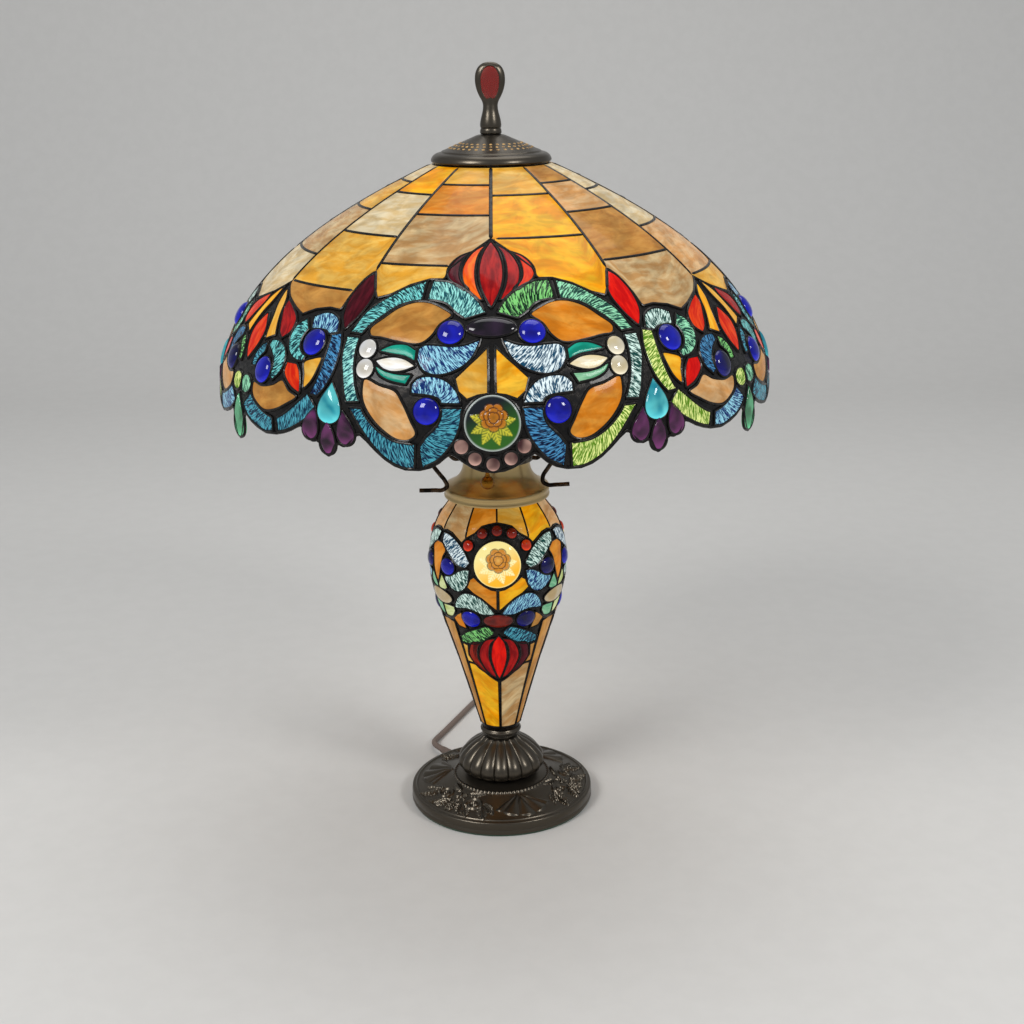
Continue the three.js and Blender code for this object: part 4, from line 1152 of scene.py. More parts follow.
    def halves(self) -> list[Cell]:
        """Cells from the middle of motif A to the middle of motif B."""
        ripple, amber, leaf = Finish.RIPPLE, Finish.AMBER, Finish.LEAF
        return [
            # tulip of motif A
            Ruled([(1.3, 103), (3.4, 113), (4.2, 128), (3.6, 145), (2.0, 158)],
                  [(1.3, 103), (5.4, 113), (7.4, 128), (6.6, 143), (2.6, 158)], leaf,
                  tints(Tint.CRIMSON, Tint.ORANGE)),
            Ruled([(4.6, 110), (7.4, 117), (8.3, 129), (7.8, 139), (5.2, 149)],
                  [(4.6, 110), (9.2, 118), (11.2, 129), (10.8, 137), (6.4, 149)], leaf,
                  tints(Tint.ORANGE_RED, Tint.MAROON)),
            # ring of ripple glass
            Ruled([(1.3, 169), (3, 159), (6.6, 148), (10.7, 141.6), (14.6, 141)],
                  [(5.4, 174), (7.8, 168), (10, 161), (12.6, 158.4), (14.8, 158)], ripple,
                  tints(Tint.FOREST, Tint.TURQUOISE)),
            Ruled([(15.9, 141.2), (20, 146.6), (24.2, 157), (28.4, 171), (30.5, 189)],
                  [(15.9, 158), (20.7, 163), (24.2, 173), (26.6, 182), (27.9, 189.5)], ripple,
                  tints(Tint.SEA_GREEN, Tint.TEAL)),
            Ruled([(31, 192), (30.9, 207), (29.7, 222), (28.6, 236), (28, 241)],
                  [(28.1, 192), (28.1, 204), (27.6, 216), (26.7, 228), (25.4, 240)], ripple,
                  tints(Tint.WHITE_TEAL, Tint.TURQUOISE)),
            Ruled([(27.4, 244.2), (25.4, 254), (22.5, 268), (19.5, 279), (16, 285), (14.2, 284.8)],
                  [(24.9, 244.2), (23.6, 251), (20.7, 261), (18, 266.3), (15.6, 267.6), (14, 268)],
                  ripple, tints(Tint.LIME, Tint.OCEAN)),
            Ruled([(12.9, 284), (10, 278), (7.2, 265), (5.9, 253), (5.6, 240.5)],
                  [(13.3, 269.5), (11.9, 262), (9.8, 253), (9.2, 246), (9.3, 240.5)], ripple,
                  tints(Tint.DEEP_BLUE, Tint.OCEAN)),
            Ruled([(5.7, 238), (6.6, 229), (8.6, 221.5), (11.6, 218.5), (13.9, 220), (15.2, 225)],
                  [(9.2, 238), (9.6, 235), (10.6, 233), (12.2, 231.8), (13.8, 231.4), (15.2, 231)],
                  ripple,
                  tints(Tint.WHITE_BLUE, Tint.AZURE)),
            Ruled([(2.2, 190.5), (5, 194.6), (8, 196), (11.3, 195.2), (13.6, 195.6), (14.7, 199)],
                  [(2.4, 193.5), (4.2, 206), (7.4, 214.5), (11, 217.2), (13.4, 213.6),
                   (14.7, 206)], ripple,
                  tints(Tint.WHITE_BLUE, Tint.AZURE)),
            # inside the ring
            Pane([(8.6, 171), (10.9, 165), (14.2, 160.5), (17.2, 160.5), (20.7, 165.5),
                  (24, 176), (26.2, 185), (25.6, 190), (23, 191), (19.5, 193), (14.4, 194),
                  (12.4, 188), (11, 179)], amber, tints(Tint.ORANGE_AMBER, Tint.SAND)),
            Pane([(24.8, 223), (25, 230), (24.5, 239), (23, 248), (20, 259), (17.4, 264.6),
                  (15.2, 264.6), (13.9, 260), (14.9, 251), (16.9, 237), (18.2, 230.5),
                  (21.3, 227)], amber, tints(Tint.ORANGE_AMBER, Tint.PEACH)),
            Ruled([(14.9, 200), (17.2, 195.6), (20, 196.2), (22.9, 201.5)],
                  [(14.9, 208), (17.2, 204.4), (20, 203), (22.9, 201.5)], leaf, tints(Tint.JADE)),
            Ruled([(14.7, 211.4), (17, 206.8), (19, 205.4), (21, 206.2), (23.3, 209)],
                  [(14.7, 211.4), (17, 215), (19, 216.2), (21, 215), (23.3, 209)], leaf,
                  tints(Tint.IVORY, Tint.OPAL)),
            Ruled([(15.2, 217.8), (18.4, 217.8), (21.3, 215.4), (23.2, 212.2)],
                  [(16.2, 225), (19.8, 222.6), (21.9, 218.8), (23.2, 212.2)], leaf,
                  tints(Tint.CELADON, Tint.JADE)),
            Gem((25.4, 200.5), (6.6, 7.0), tints(Tint.IVORY, Tint.OPAL), 1.8),
            Gem((25.1, 215.4), (6.6, 7.0), tints(Tint.IVORY, Tint.OPAL), 1.8),
            Gem((8.4, 185), (9.2, 9.0), tints(Tint.COBALT), 3.6),
            Gem((12, 243.5), (9.2, 9.2), tints(Tint.COBALT), 3.6),
            Pane([(0.75, 196), (3, 205), (5.4, 214), (6.9, 219.5), (6.2, 229), (4.6, 234.5),
                  (2.6, 231.4), (0.75, 230.4)], amber, tints(Tint.YELLOW, Tint.HONEY), True),
            Gem((5.6, 268.5), (5.2, 5.2), tints(Tint.AMETHYST), 2.6),
            Gem((3.2, 277), (5.2, 5.2), tints(Tint.AMETHYST), 2.6),
            # seam between the motifs
            Ruled([(31.2, 136), (28.6, 156), (30, 174), (32.4, 187.5)],
                  [(31.2, 136), (33.2, 143), (34.6, 158), (34.3, 175), (32.4, 187.5)], leaf,
                  tints(Tint.SCARLET, Tint.MAROON)),
            Gem((31.7, 243), (9.6, 14.6), tints(Tint.AQUA), 3.4, True),
            Gem((28.0, 260), (6.8, 12.2), tints(Tint.PLUM), 3.2, True, 12),
            Gem((31.8, 268.4), (6.8, 12.2), tints(Tint.PLUM), 3.2, True),
            Gem((35.7, 259.4), (6.8, 12.2), tints(Tint.PLUM), 3.2, True, -14),
            # motif B
            Ruled([(32.8, 190), (31.9, 201), (31.8, 213), (32.4, 224), (33.6, 233), (35, 239.5)],
                  [(35.1, 192), (34.9, 205), (35.1, 217), (35.7, 228), (36.4, 235), (36.9, 239)],
                  ripple, tints(Tint.LIME, Tint.DEEP_BLUE)),
            Ruled([(35, 247), (37, 256), (39.4, 262.4), (42.5, 268.4), (44.8, 271)],
                  [(37.3, 238.6), (38.9, 244), (41.6, 253), (43.8, 258.8), (45.4, 261.6)], ripple,
                  tints(Tint.LIME, Tint.OCEAN)),
            Ruled([(46.4, 271.8), (48.6, 273.4), (51.6, 271.2), (55.3, 266.6), (57.9, 259)],
                  [(46.6, 262.2), (48.5, 261), (51.4, 257.4), (53.8, 252.6), (55.2, 248.6)],
                  ripple, tints(Tint.AZURE, Tint.OCEAN)),
            Pane([(55.6, 241), (57.2, 236.4), (59.4, 238), (59.4, 248), (57.9, 250.4),
                  (55.9, 247)], ripple, tints(Tint.LIME, Tint.SEA_GREEN)),
            Gem((39, 200), (9.8, 10.0), tints(Tint.COBALT), 3.6),
            Ruled([(33.9, 190.5), (34.8, 180.5), (37.3, 175.6), (40, 176), (42.4, 180.6)],
                  [(36, 192.5), (36.6, 190.4), (38, 189.3), (39.6, 189.2), (41.4, 190.2)], ripple,
                  tints(Tint.WHITE_TEAL, Tint.AZURE)),
            Ruled([(43.9, 182.4), (46.2, 189), (46.8, 199), (45.6, 209), (43.1, 215),
                   (40.6, 216)],
                  [(42.2, 190.5), (42.9, 195.6), (43, 201.5), (42.4, 206.6), (41.4, 209.8),
                   (40, 211.8)], ripple, tints(Tint.SEA_GREEN, Tint.TEAL)),
            Pane([(35.8, 211), (38, 212.6), (40, 216.5), (39.2, 225), (38.6, 235), (37.2, 230),
                  (36.2, 221)], amber, tints(Tint.YELLOW, Tint.HONEY)),
            Ruled([(42, 218), (40.8, 223), (39.9, 231), (39.5, 239.5)],
                  [(44.8, 218), (44.9, 226), (42.4, 235), (39.5, 239.5)], leaf,
                  tints(Tint.SCARLET, Tint.ORANGE_RED)),
            Pane([(45, 232.5), (47.5, 237.4), (51.2, 240.4), (54.6, 239.6), (54.3, 248.5),
                  (52, 254.6), (49.4, 257.6), (46, 255), (43, 249.6), (40.2, 242.4),
                  (42.6, 239)], amber, tints(Tint.PEACH, Tint.SAND)),
            Gem((51.9, 228.5), (9.4, 9.8), tints(Tint.NAVY, Tint.COBALT), 3.6),
            Ruled([(48.2, 234), (46.2, 226), (45.8, 217), (47, 208.6), (49.6, 204.2),
                   (52.4, 204.4)],
                  [(49.2, 232), (48.9, 226), (49.3, 220.4), (50.3, 215.6), (51.5, 212),
                   (52.8, 209.4)], ripple, tints(Tint.DEEP_BLUE, Tint.TEAL)),
            Ruled([(53.6, 207), (55.4, 211), (56.8, 219), (57, 228)],
                  [(53.4, 215), (54.4, 218.4), (55.2, 222.6), (55.4, 228)], ripple,
                  tints(Tint.FOREST, Tint.OCEAN)),
            Ruled([(54.6, 170.5), (50.4, 177.4), (47.6, 185), (47.4, 195), (49.4, 202)],
                  [(54.6, 170.5), (54.5, 178), (52.9, 187.6), (51.2, 197), (49.4, 202)], leaf,
                  tints(Tint.ORANGE_RED, Tint.CRIMSON)),
            Ruled([(58.9, 161.5), (56, 171.5), (54.3, 186), (52.2, 201)],
                  [(58.9, 161.5), (58.3, 175), (56.7, 188), (55.4, 206)], leaf,
                  tints(Tint.YELLOW, Tint.HONEY)),
        ]

    def middles(self) -> list[Cell]:
        """Cells that stand on the middle line of either motif."""
        return [
            Ruled([(0, 99.5), (-2.2, 112), (-3.1, 128), (-2.5, 145), (0, 165)],
                  [(0, 99.5), (2.2, 112), (3.1, 128), (2.5, 145), (0, 165)], Finish.LEAF,
                  tints(Tint.CRIMSON)),
            Gem((0, 181), (17.6, 7.2), tints(Tint.PITCH), 2.2),
            Gem((0, 281), (5.2, 5.2), tints(Tint.AMETHYST), 2.6),
            Ruled([(60, 185), (57, 200), (57.6, 212), (60, 225)],
                  [(60, 185), (63, 200), (62.4, 212), (60, 225)], Finish.LEAF,
                  tints(Tint.ORANGE_RED)),
            Gem((60, 269.5), (9.8, 17.0), tints(Tint.EMERALD), 3.2, True),
        ]

    def build(self) -> None:
        """Makes the shade's glass, lead and medallions."""
        wall = self.wall()
        panel = LeadedGlass(wall, "shade", "shade")
        self.bricks(panel)
        panel.motifs(self.halves(), self.middles())
        panel.shell(self.edge, rows=64, columns=720)
        angle = np.linspace(0, 360, 1440, endpoint=False)
        panel.bead(np.stack([angle, self.edge(angle) - 0.9], axis=1), half_width=1.3, rise=1.1)
        # Shade roundel palette: the pale rim is a painted highlight and the near-black upper ground
        # is painted shade.
        roundels = [
            panel.medallion((120.0 * k, self.medallion_down), self.medallion_radius, 2.6,
                            ("c8d2cc", "10161e", "2c6a14", "d27e12", "3c0e06", "e2da3a"), 0.8)
            for k in range(3)
        ]
        pieces = panel.finish()
        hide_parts(*[f"shade_panel_{k}" for k in range(1, 13)])
        for k, stock in enumerate(roundels):
            roundel = stock.build(f"shade_roundel_{k + 1}", Finish.JEWEL)
            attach(roundel, "shade")
            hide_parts(f"shade_medallion_{k + 1}")


# ---------------------------------------------------------------- urn
@dataclass
class Urn:
    """The mosaic urn that is lit from inside, three equal repeats of 120 degrees."""

    widest: float = 60.3
    foot: float = 69.9
    height: float = 219.5
    shares: Points = ((0.6, 1), (0.69, 0.968), (0.835, 0.909), (0.94, 0.84), (1, 0.745),
                      (0.986, 0.672), (0.88, 0.545), (0.672, 0.364), (0.47, 0.182), (0.286, 0))
    hidden: float = 8.5          # glass inside the cap, above the level that down starts from
    stave_end: Points = ((0, 9), (8, 10.5), (15, 12.5), (21, 19), (29, 24), (33, 29), (38, 26),
                         (46, 22), (54, 21), (60, 22.5))
    medallion_down: float = 45.0
    medallion_radius: float = 20.5

    def wall(self) -> Wall:
        """The wall's line: a smooth curve through the shares."""
        places = [(r * self.widest, self.foot + self.height * z) for r, z in self.shares]
        wall = Wall(smooth(places, 260, scale=1.0))
        wall.down = wall.down - self.hidden
        return wall

    def halves(self) -> list[Cell]:
        """Cells from the middle of the medallion to halfway between two medallions."""
        ripple, amber, leaf = Finish.RIPPLE, Finish.AMBER, Finish.LEAF
        return [
            Gem((26, 30), (4.4, 4.4), tints(Tint.ORANGE_RED), 1.8),
            Gem((14, 18.6), (4.2, 4.2), tints(Tint.GARNET), 1.8),
            Ruled([(58, 24), (48, 24.4), (38, 28.4), (29, 36), (23.4, 45)],
                  [(56, 32), (48, 38), (41, 43.4), (35, 48), (27, 49.6)], ripple,
                  tints(Tint.WHITE_TEAL, Tint.WHITE_BLUE)),
            Ruled([(23.4, 51), (29, 51.4), (35.6, 54.6), (41, 58.6), (49, 61)],
                  [(25, 63.4), (30, 70), (37, 72.4), (44, 69.4), (49.4, 63)], ripple,
                  tints(Tint.AZURE, Tint.WHITE_TEAL)),
            Gem((45.5, 51.5), (8.0, 6.8), tints(Tint.NAVY, Tint.COBALT), 2.2),
            Ruled([(50.6, 63.2), (53, 60.4), (56, 65), (59.3, 71)],
                  [(47, 71), (50, 73.6), (55, 74.4), (59.3, 74)], leaf,
                  tints(Tint.CELADON, Tint.LEAF)),
            Ruled([(43, 89.4), (48, 89), (54, 89.6), (59.3, 90)],
                  [(43, 93.4), (48, 99.4), (54, 101.4), (59.3, 101.4)], leaf,
                  tints(Tint.CELADON, Tint.LEAF)),
            Pane([(0.9, 68), (6, 67), (11, 64.2), (15.5, 60.4), (19.4, 56.4), (23, 59), (26, 66.6),
                  (20.6, 71.6), (13.6, 75.8), (8, 81.4), (0.9, 88.4)], amber,
                 tints(Tint.GOLD, Tint.ORANGE_AMBER), True),
            Ruled([(3.4, 90.4), (9.4, 81.6), (17.6, 74.8), (28, 72.6), (36, 77.6), (42, 87)],
                  [(3.4, 91.8), (14, 92.4), (21, 90), (29, 88), (36, 89), (42, 89.6)], ripple,
                  tints(Tint.AZURE, Tint.WHITE_TEAL)),
            Gem((26.6, 98.4), (8.6, 7.6), tints(Tint.NAVY, Tint.COBALT), 2.4),
            Pane([(36, 93), (42, 97), (47.6, 101.6), (43, 108.4), (33, 110), (35.6, 102)], amber,
                 tints(Tint.SAND, Tint.ORANGE_AMBER), True),
            Ruled([(4.6, 110.4), (10, 105.4), (17, 106.4), (25, 109.8), (36, 114.6), (46, 121)],
                  [(4.6, 112), (10, 116.4), (17, 121.4), (27, 125), (37, 126.4), (46, 126)],
                  ripple, tints(Tint.OCEAN, Tint.FOREST)),
            Ruled([(2.6, 117), (10.4, 126), (12.6, 139), (9, 151), (3.4, 162)],
                  [(2.6, 117), (16.6, 122.4), (25, 139), (19, 152.6), (4, 162)], leaf,
                  tints(Tint.CRIMSON)),
            Ruled([(17.6, 122.6), (25.4, 130), (27.6, 140), (23, 149), (12, 159)],
                  [(17.6, 122.6), (34, 127.4), (39.6, 139.6), (32, 149.6), (12, 159)], leaf,
                  tints(Tint.MAROON, Tint.GARNET)),
            Pane([(38, 129), (46, 127.6), (46, 147.6), (34.6, 147.6), (41, 140)], amber,
                 tints(Tint.SAND, Tint.HONEY), True),
            Ruled([(1.4, 166.6), (12, 161.6), (26, 153.4), (34, 149.4), (46, 149.4)],
                  [(1.4, 218), (12, 218), (26, 218), (36, 218), (46, 218)], amber,
                  tints(Tint.BEIGE, Tint.GOLD)),
        ]

    def middles(self) -> list[Cell]:
        """Cells that stand on a middle line."""
        return [
            Gem((0, 16), (4.2, 4.2), tints(Tint.GARNET), 1.8),
            Pane([(49.6, 38.8), (54, 34), (60, 33), (66, 34), (70.4, 38.8), (67.4, 45),
                  (66, 52), (64.2, 60), (60, 68), (55.8, 60), (54, 52), (52.6, 45)],
                 Finish.AMBER, tints(Tint.ORANGE_AMBER)),
            Gem((60, 81.8), (16, 6.8), tints(Tint.CREAM), 1.4),
            Gem((0, 98.5), (12.8, 6.4), tints(Tint.GARNET), 1.6),
            Ruled([(0, 114), (-7, 125), (-9.6, 139), (-6.4, 152), (0, 163)],
                  [(0, 114), (7, 125), (9.6, 139), (6.4, 152), (0, 163)], Finish.LEAF,
                  tints(Tint.SCARLET)),
            Ruled([(49.4, 106), (49.4, 150), (49.4, 180), (49.4, 218)],
                  [(70.6, 106), (70.6, 150), (70.6, 180), (70.6, 218)], Finish.AMBER,
                  tints(Tint.SAND)),
        ]

    def stave_low(self, angle: np.ndarray) -> np.ndarray:
        """How far down the staves under the cap go."""
        table = np.array(self.stave_end)
        return np.interp(Shade.folded(angle), table[:, 0], table[:, 1])

    def build(self) -> None:
        """Makes the urn's glass, lead and medallions."""
        wall = self.wall()
        panel = LeadedGlass(wall, "lamp_body", "urn", bead_half_width=0.95, grow=0.6)
        shades = (Tint.HONEY, Tint.GOLD, Tint.PEACH, Tint.SAND, Tint.HONEY, Tint.SAND, Tint.GOLD,
                  Tint.PEACH, Tint.HONEY, Tint.PEACH, Tint.BEIGE, Tint.ORANGE_AMBER)
        for stave in range(12):
            start, end = 30.0 * stave, 30.0 * stave + 30.0
            angle = np.linspace(start + 0.1, end - 0.1, 16)
            first = np.stack([angle, np.full(16, -7.0)], axis=1)
            second = np.stack([angle, self.stave_low(angle)], axis=1)
            panel.slab(first, second, lambda a: a, shades[stave], Finish.AMBER)
            line = np.stack([np.full(12, start),
                             np.linspace(-7, float(self.stave_low(np.array(start))), 12)], axis=1)
            panel.bead(line, closed=False)
        angle = np.linspace(0, 360, 480, endpoint=False)
        panel.bead(np.stack([angle, self.stave_low(angle)], axis=1))
        panel.motifs(self.halves(), self.middles())
        for k in range(3):
            for turn in (-47.4, 0.0, 47.4):
                start = 125.0 if turn else 164.0
                line = np.stack([np.full(30, 120.0 * k + turn), np.linspace(start, 218.6, 30)],
                                axis=1)
                panel.bead(line, closed=False, half_width=1.0 if turn else 1.3)
        panel.shell(lambda a: np.full_like(a, wall.down[-1]), rows=120, columns=300)
        roundels = [
            panel.medallion((120.0 * k, self.medallion_down), self.medallion_radius, 3.2,
                            ("fff0a4", "ffee9c", "ffba24", "c8780c", "2c1402", "fff6b4"), 1.5)
            for k in range(3)
        ]
        pieces = panel.finish()
        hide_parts(*[f"urn_panel_{k}" for k in range(1, 7)])
        for k, stock in enumerate(roundels):
            roundel = stock.build(f"urn_roundel_{k + 1}", Finish.JEWEL)
            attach(roundel, "lamp_body")


# ---------------------------------------------------------------- base
def settle(piece: bpy.types.Object, body: str, slot: str, *nodes: str) -> bpy.types.Object:
    """Puts a piece on its body and hides the nodes that it stands for."""
    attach(piece, body)
    if nodes:
        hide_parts(*nodes)
    return piece


@dataclass
class Base:
    """The cast foot: plate with low relief, lobed dome and ringed collar."""

    plate_radius: float = 81.9
    plate_bottom: float = 1.8
    rim_top: float = 13.0
    crown_radius: float = 28.0
    crown_top: float = 27.0
    bore: float = 5.4
    recess_radius: float = 20.0
    recess_top: float = 11.0
    relief: float = 1.9
    fan_angles: tuple[float, ...] = (19.0, 139.0, 259.0)
    dome_radius: float = 38.8
    dome_bottom: float = 27.3
    dome_height: float = 33.0
    lobes: int = 18
    lobe_depth: float = 3.0
    collar_bottom: float = 60.6
    collar_height: float = 9.0

    @staticmethod
    def leaf(x: np.ndarray, y: np.ndarray, root: tuple[float, float], heading: float,
             size: tuple[float, float], curl: float) -> np.ndarray:
        """Height of one cast leaf: a spindle that curls, with a midrib and slanting veins.

        Args:
            x: places across, in millimetres.
            y: places outwards.
            root: where it starts.
            heading: its direction in radians, 0 outwards.
            size: its length and half of its width.
            curl: how far it bends to the side, as a share of its length.

        Returns:
            The height from 0 to 1.
        """
        ahead = (x - root[0]) * math.sin(heading) + (y - root[1]) * math.cos(heading)
        aside = (x - root[0]) * math.cos(heading) - (y - root[1]) * math.sin(heading)
        along = np.clip(ahead / size[0], 0, 1)
        aside = aside - curl * size[0] * along**2
        lobe = 1 + 0.22 * np.abs(np.sin(along * 14))
        half = size[1] * np.sin(np.pi * along**0.75) * lobe
        inside = np.clip((half - np.abs(aside)) / 0.8, 0, 1)
        vein = 0.55 + 0.45 * np.cos((ahead - np.abs(aside) * 1.1) * 2.1)
        rib = np.clip(1.2 - np.abs(aside), 0, 1)
        return inside * np.maximum(vein * 0.75, rib)

    def figure(self, radius: np.ndarray, angle_deg: np.ndarray) -> np.ndarray:
        """Height of the relief, from 0 to 1, at places on the plate.

        Each fan is a set of ribs that spread from a point near the dome, cut off by a scalloped
        arc. Midway between two fans stands a flower, with a scroll on each side of it (a wave
        that winds about its own middle) and leaves that curl out of it. A ring of beads runs
        round the dome's foot and a plain one near the rim.

        Args:
            radius: distance from the axis in millimetres.
            angle_deg: angle about the axis in degrees.

        Returns:
            The height at each place.
        """
        beads = 0.35 + 0.65 * np.abs(np.cos(np.radians(angle_deg) * 36))
        high = beads * np.exp(-(((radius - 42.6) / 1.3) ** 2))
        high = np.maximum(high, 0.6 * np.exp(-(((radius - 77.2) / 0.8) ** 2)))
        half_turn = math.radians(180 / len(self.fan_angles))
        for middle in self.fan_angles:
            off = np.radians(np.mod(angle_deg - middle + 180, 360) - 180)
            x, y = radius * np.sin(off), radius * np.cos(off) - 45.0
            out, spread = np.hypot(x, y), np.arctan2(x, y)
            arc = 27.0 + 1.8 * np.abs(np.cos(spread * 5.5))
            inside = np.clip(arc - out, 0, 1.2) / 1.2 * np.clip((1.1 - np.abs(spread)) * 8, 0, 1)
            ribs = np.abs(np.cos(spread * 5.5)) ** 0.9 * np.clip(out / 9, 0.3, 1)
            ribs = 0.12 + ribs * 0.95
            high = np.maximum(high, inside * ribs)
            turned = np.mod(angle_deg - middle + 360, 360)
            off = np.radians(turned) - half_turn
            x, y = radius * np.sin(off), radius * np.cos(off)
            near, spin = np.hypot(x, y - 55.0), np.arctan2(x, y - 55.0)
            petals = np.clip((4.6 + 1.6 * np.cos(spin * 5) - near) / 1.2, 0, 1)
            high = np.maximum(high, petals * (0.6 + 0.4 * np.cos(spin * 5)))
            high = np.maximum(high, 1.2 * np.sqrt(np.clip(1 - (near / 2.2) ** 2, 0, 1)))
            for way in (-1, 1):
                cx, cy = way * 17.0, 57.0
                near = np.hypot(x - cx, y - cy)
                wind = np.arctan2(x - cx, y - cy) * way
                wave = 0.5 + 0.5 * np.cos(2 * np.pi * near / 4.6 - wind)
                high = np.maximum(high, wave * np.clip((8.4 - near) / 1.6, 0, 1))
                for root, heading, size, curl in (
                    ((6.0, 61.0), 0.25, (15.0, 4.2), 0.25), ((9.0, 62.0), 1.0, (19.0, 4.0), -0.2),
                    ((5.0, 49.0), 1.9, (15.0, 3.4), 0.2), ((25.0, 54.0), 0.5, (20.0, 4.6), 0.3),
                    ((24.0, 52.0), 1.5, (17.0, 3.8), -0.25), ((1.2, 62.0), 0.0, (13.0, 3.2), 0.1),
                ):
                    high = np.maximum(high, self.leaf(way * x, y, root, heading, size, curl))
        return high

    def plate(self) -> bpy.types.Object:
        """The round plate."""
        share = np.linspace(1, 0, 118)
        run = self.plate_radius - 1.8 - self.crown_radius
        radii = self.crown_radius + run * share
        heights = self.rim_top + (self.crown_top - self.rim_top) * (1 - share) ** 1.35
        top = list(zip(radii, heights))
        edge = rounded([(self.recess_radius, self.plate_bottom),
                        (self.plate_radius - 1.0, self.plate_bottom)], 8.0)
        side = [(81.5, 2.1), (81.8, 2.8), (81.75, 5.0), (81.3, 5.6), (81.3, 6.2), (81.7, 6.8),
                (81.6, 10.6), (81.4, 12.0), (81.0, 12.8), (80.6, 13.0)]
        outline = ([(self.bore, self.recess_top), (self.recess_radius, self.recess_top)]
                   + edge + side + top + [(self.bore, self.crown_top)])

        def emboss(radius: np.ndarray, height: np.ndarray, angle: np.ndarray) -> tuple:
            """Lifts the upper face by the relief."""
            upper = (height >= self.rim_top) & (radius > self.crown_radius + 1)
            figure = self.figure(radius, np.degrees(angle)) * self.relief
            fade = np.clip((self.plate_radius - 2.6 - radius) / 1.0, 0, 1)
            return radius, height + np.where(upper, figure * fade, 0.0)

        stock = Stock()
        stock.grid(lathe(outline, 640, emboss))
        return settle(stock.build("base_plate_cast", Finish.BRONZE), "lamp_body", "dark_bronze",
                      "base_plate")

    def dome(self) -> bpy.types.Object:
        """The lobed dome; its face is drawn in between the lobes."""
        shares = [(0.7, 0), (0.86, 0.04), (0.97, 0.14), (1, 0.25), (0.97, 0.42), (0.84, 0.62),
                  (0.64, 0.82), (0.5, 0.92), (0.42, 1)]
        places = [(self.dome_radius * r, self.dome_bottom + self.dome_height * z)
                  for r, z in shares]
        face = [tuple(p) for p in smooth(places, 60, scale=1.0)]
        top = self.dome_bottom + self.dome_height
        outline = face + [(self.bore, top), (self.bore, top - 5), (14, top - 8),
                          (27, self.dome_bottom + 10), (22, self.dome_bottom)]

        def lobed(radius: np.ndarray, height: np.ndarray, angle: np.ndarray) -> tuple:
            """Rounds each lobe like the absolute cosine, most where the dome is widest."""
            outer = np.arange(radius.shape[1]) < len(face)
            bulge = np.abs(np.cos(angle * self.lobes / 2)) ** 0.55
            share = np.clip((height - self.dome_bottom) / self.dome_height, 0, 1)
            weight = np.sin(np.pi * np.clip(share * 0.82 + 0.12, 0, 1)) ** 0.8
            return radius - np.where(outer, self.lobe_depth * (1 - bulge) * weight, 0), height

        stock = Stock()
        stock.grid(lathe(outline, self.lobes * 28, lobed))
        return settle(stock.build("base_dome_cast", Finish.BRONZE), "lamp_body", "dark_bronze",
                      "base_dome")

    def collar(self) -> bpy.types.Object:
        """The ringed collar under the urn."""
        low, high = self.collar_bottom, self.collar_bottom + self.collar_height
        places = [(13.4, low), (13.5, low + 1.4), (12.9, low + 2.2), (12.9, low + 3.0),
                  (14.6, low + 3.6), (17.4, low + 4.8), (18.3, low + 6.2), (18.1, low + 7.4),
                  (17.2, low + 8.4), (16.8, high)]
        face = [tuple(p) for p in smooth(places, 60, scale=1.0)]
        stock = Stock()
        stock.grid(lathe(face + [(self.bore, high), (self.bore, low)], 128))
        return settle(stock.build("collar_turned", Finish.BRONZE), "lamp_body", "dark_bronze",
                      "collar")

    def build(self) -> None:
        """Makes the base."""
        self.plate()
        self.dome()
        self.collar()


# ---------------------------------------------------------------- cap, cluster and pull chains
@dataclass
class UrnCap:
    """The spun brass cap on the urn."""

    bottom: float = 286.9
    height: float = 32.0
    wall: float = 1.5
    bore: float = 5.4
    shoulder: Points = ((43.7, 9.3), (41, 10.6), (38.6, 12.0), (36, 14), (33.7, 16.1),
                        (31.8, 18.6), (30.3, 21.4), (29.3, 24.4), (28.7, 28.2), (28.5, 32))

    def build(self) -> None:
        """Turns the cap: a banded rim, a hollow shoulder and a flat top."""
        rim = [(44.6, 0.0), (45.3, 0.3), (45.5, 1.2), (45.3, 2.0), (44.9, 2.5), (44.9, 5.2),
               (45.3, 5.8), (45.5, 6.8), (45.2, 8.0), (44.6, 8.8)]
        shoulder = [tuple(p) for p in smooth(self.shoulder, 70, scale=1.0)]
        inner = [(r - self.wall, z - self.wall * 0.8) for r, z in reversed(shoulder)]
        outline = (rim + shoulder + [(self.bore, self.height),
                                     (self.bore, self.height - self.wall)]
                   + inner + [(43.2, 0.0)])
        stock = Stock()
        stock.grid(lathe([(r, z + self.bottom) for r, z in outline], 160))
        settle(stock.build("urn_cap_spun", Finish.BRASS), "lamp_body", "aged_brass", "urn_cap")


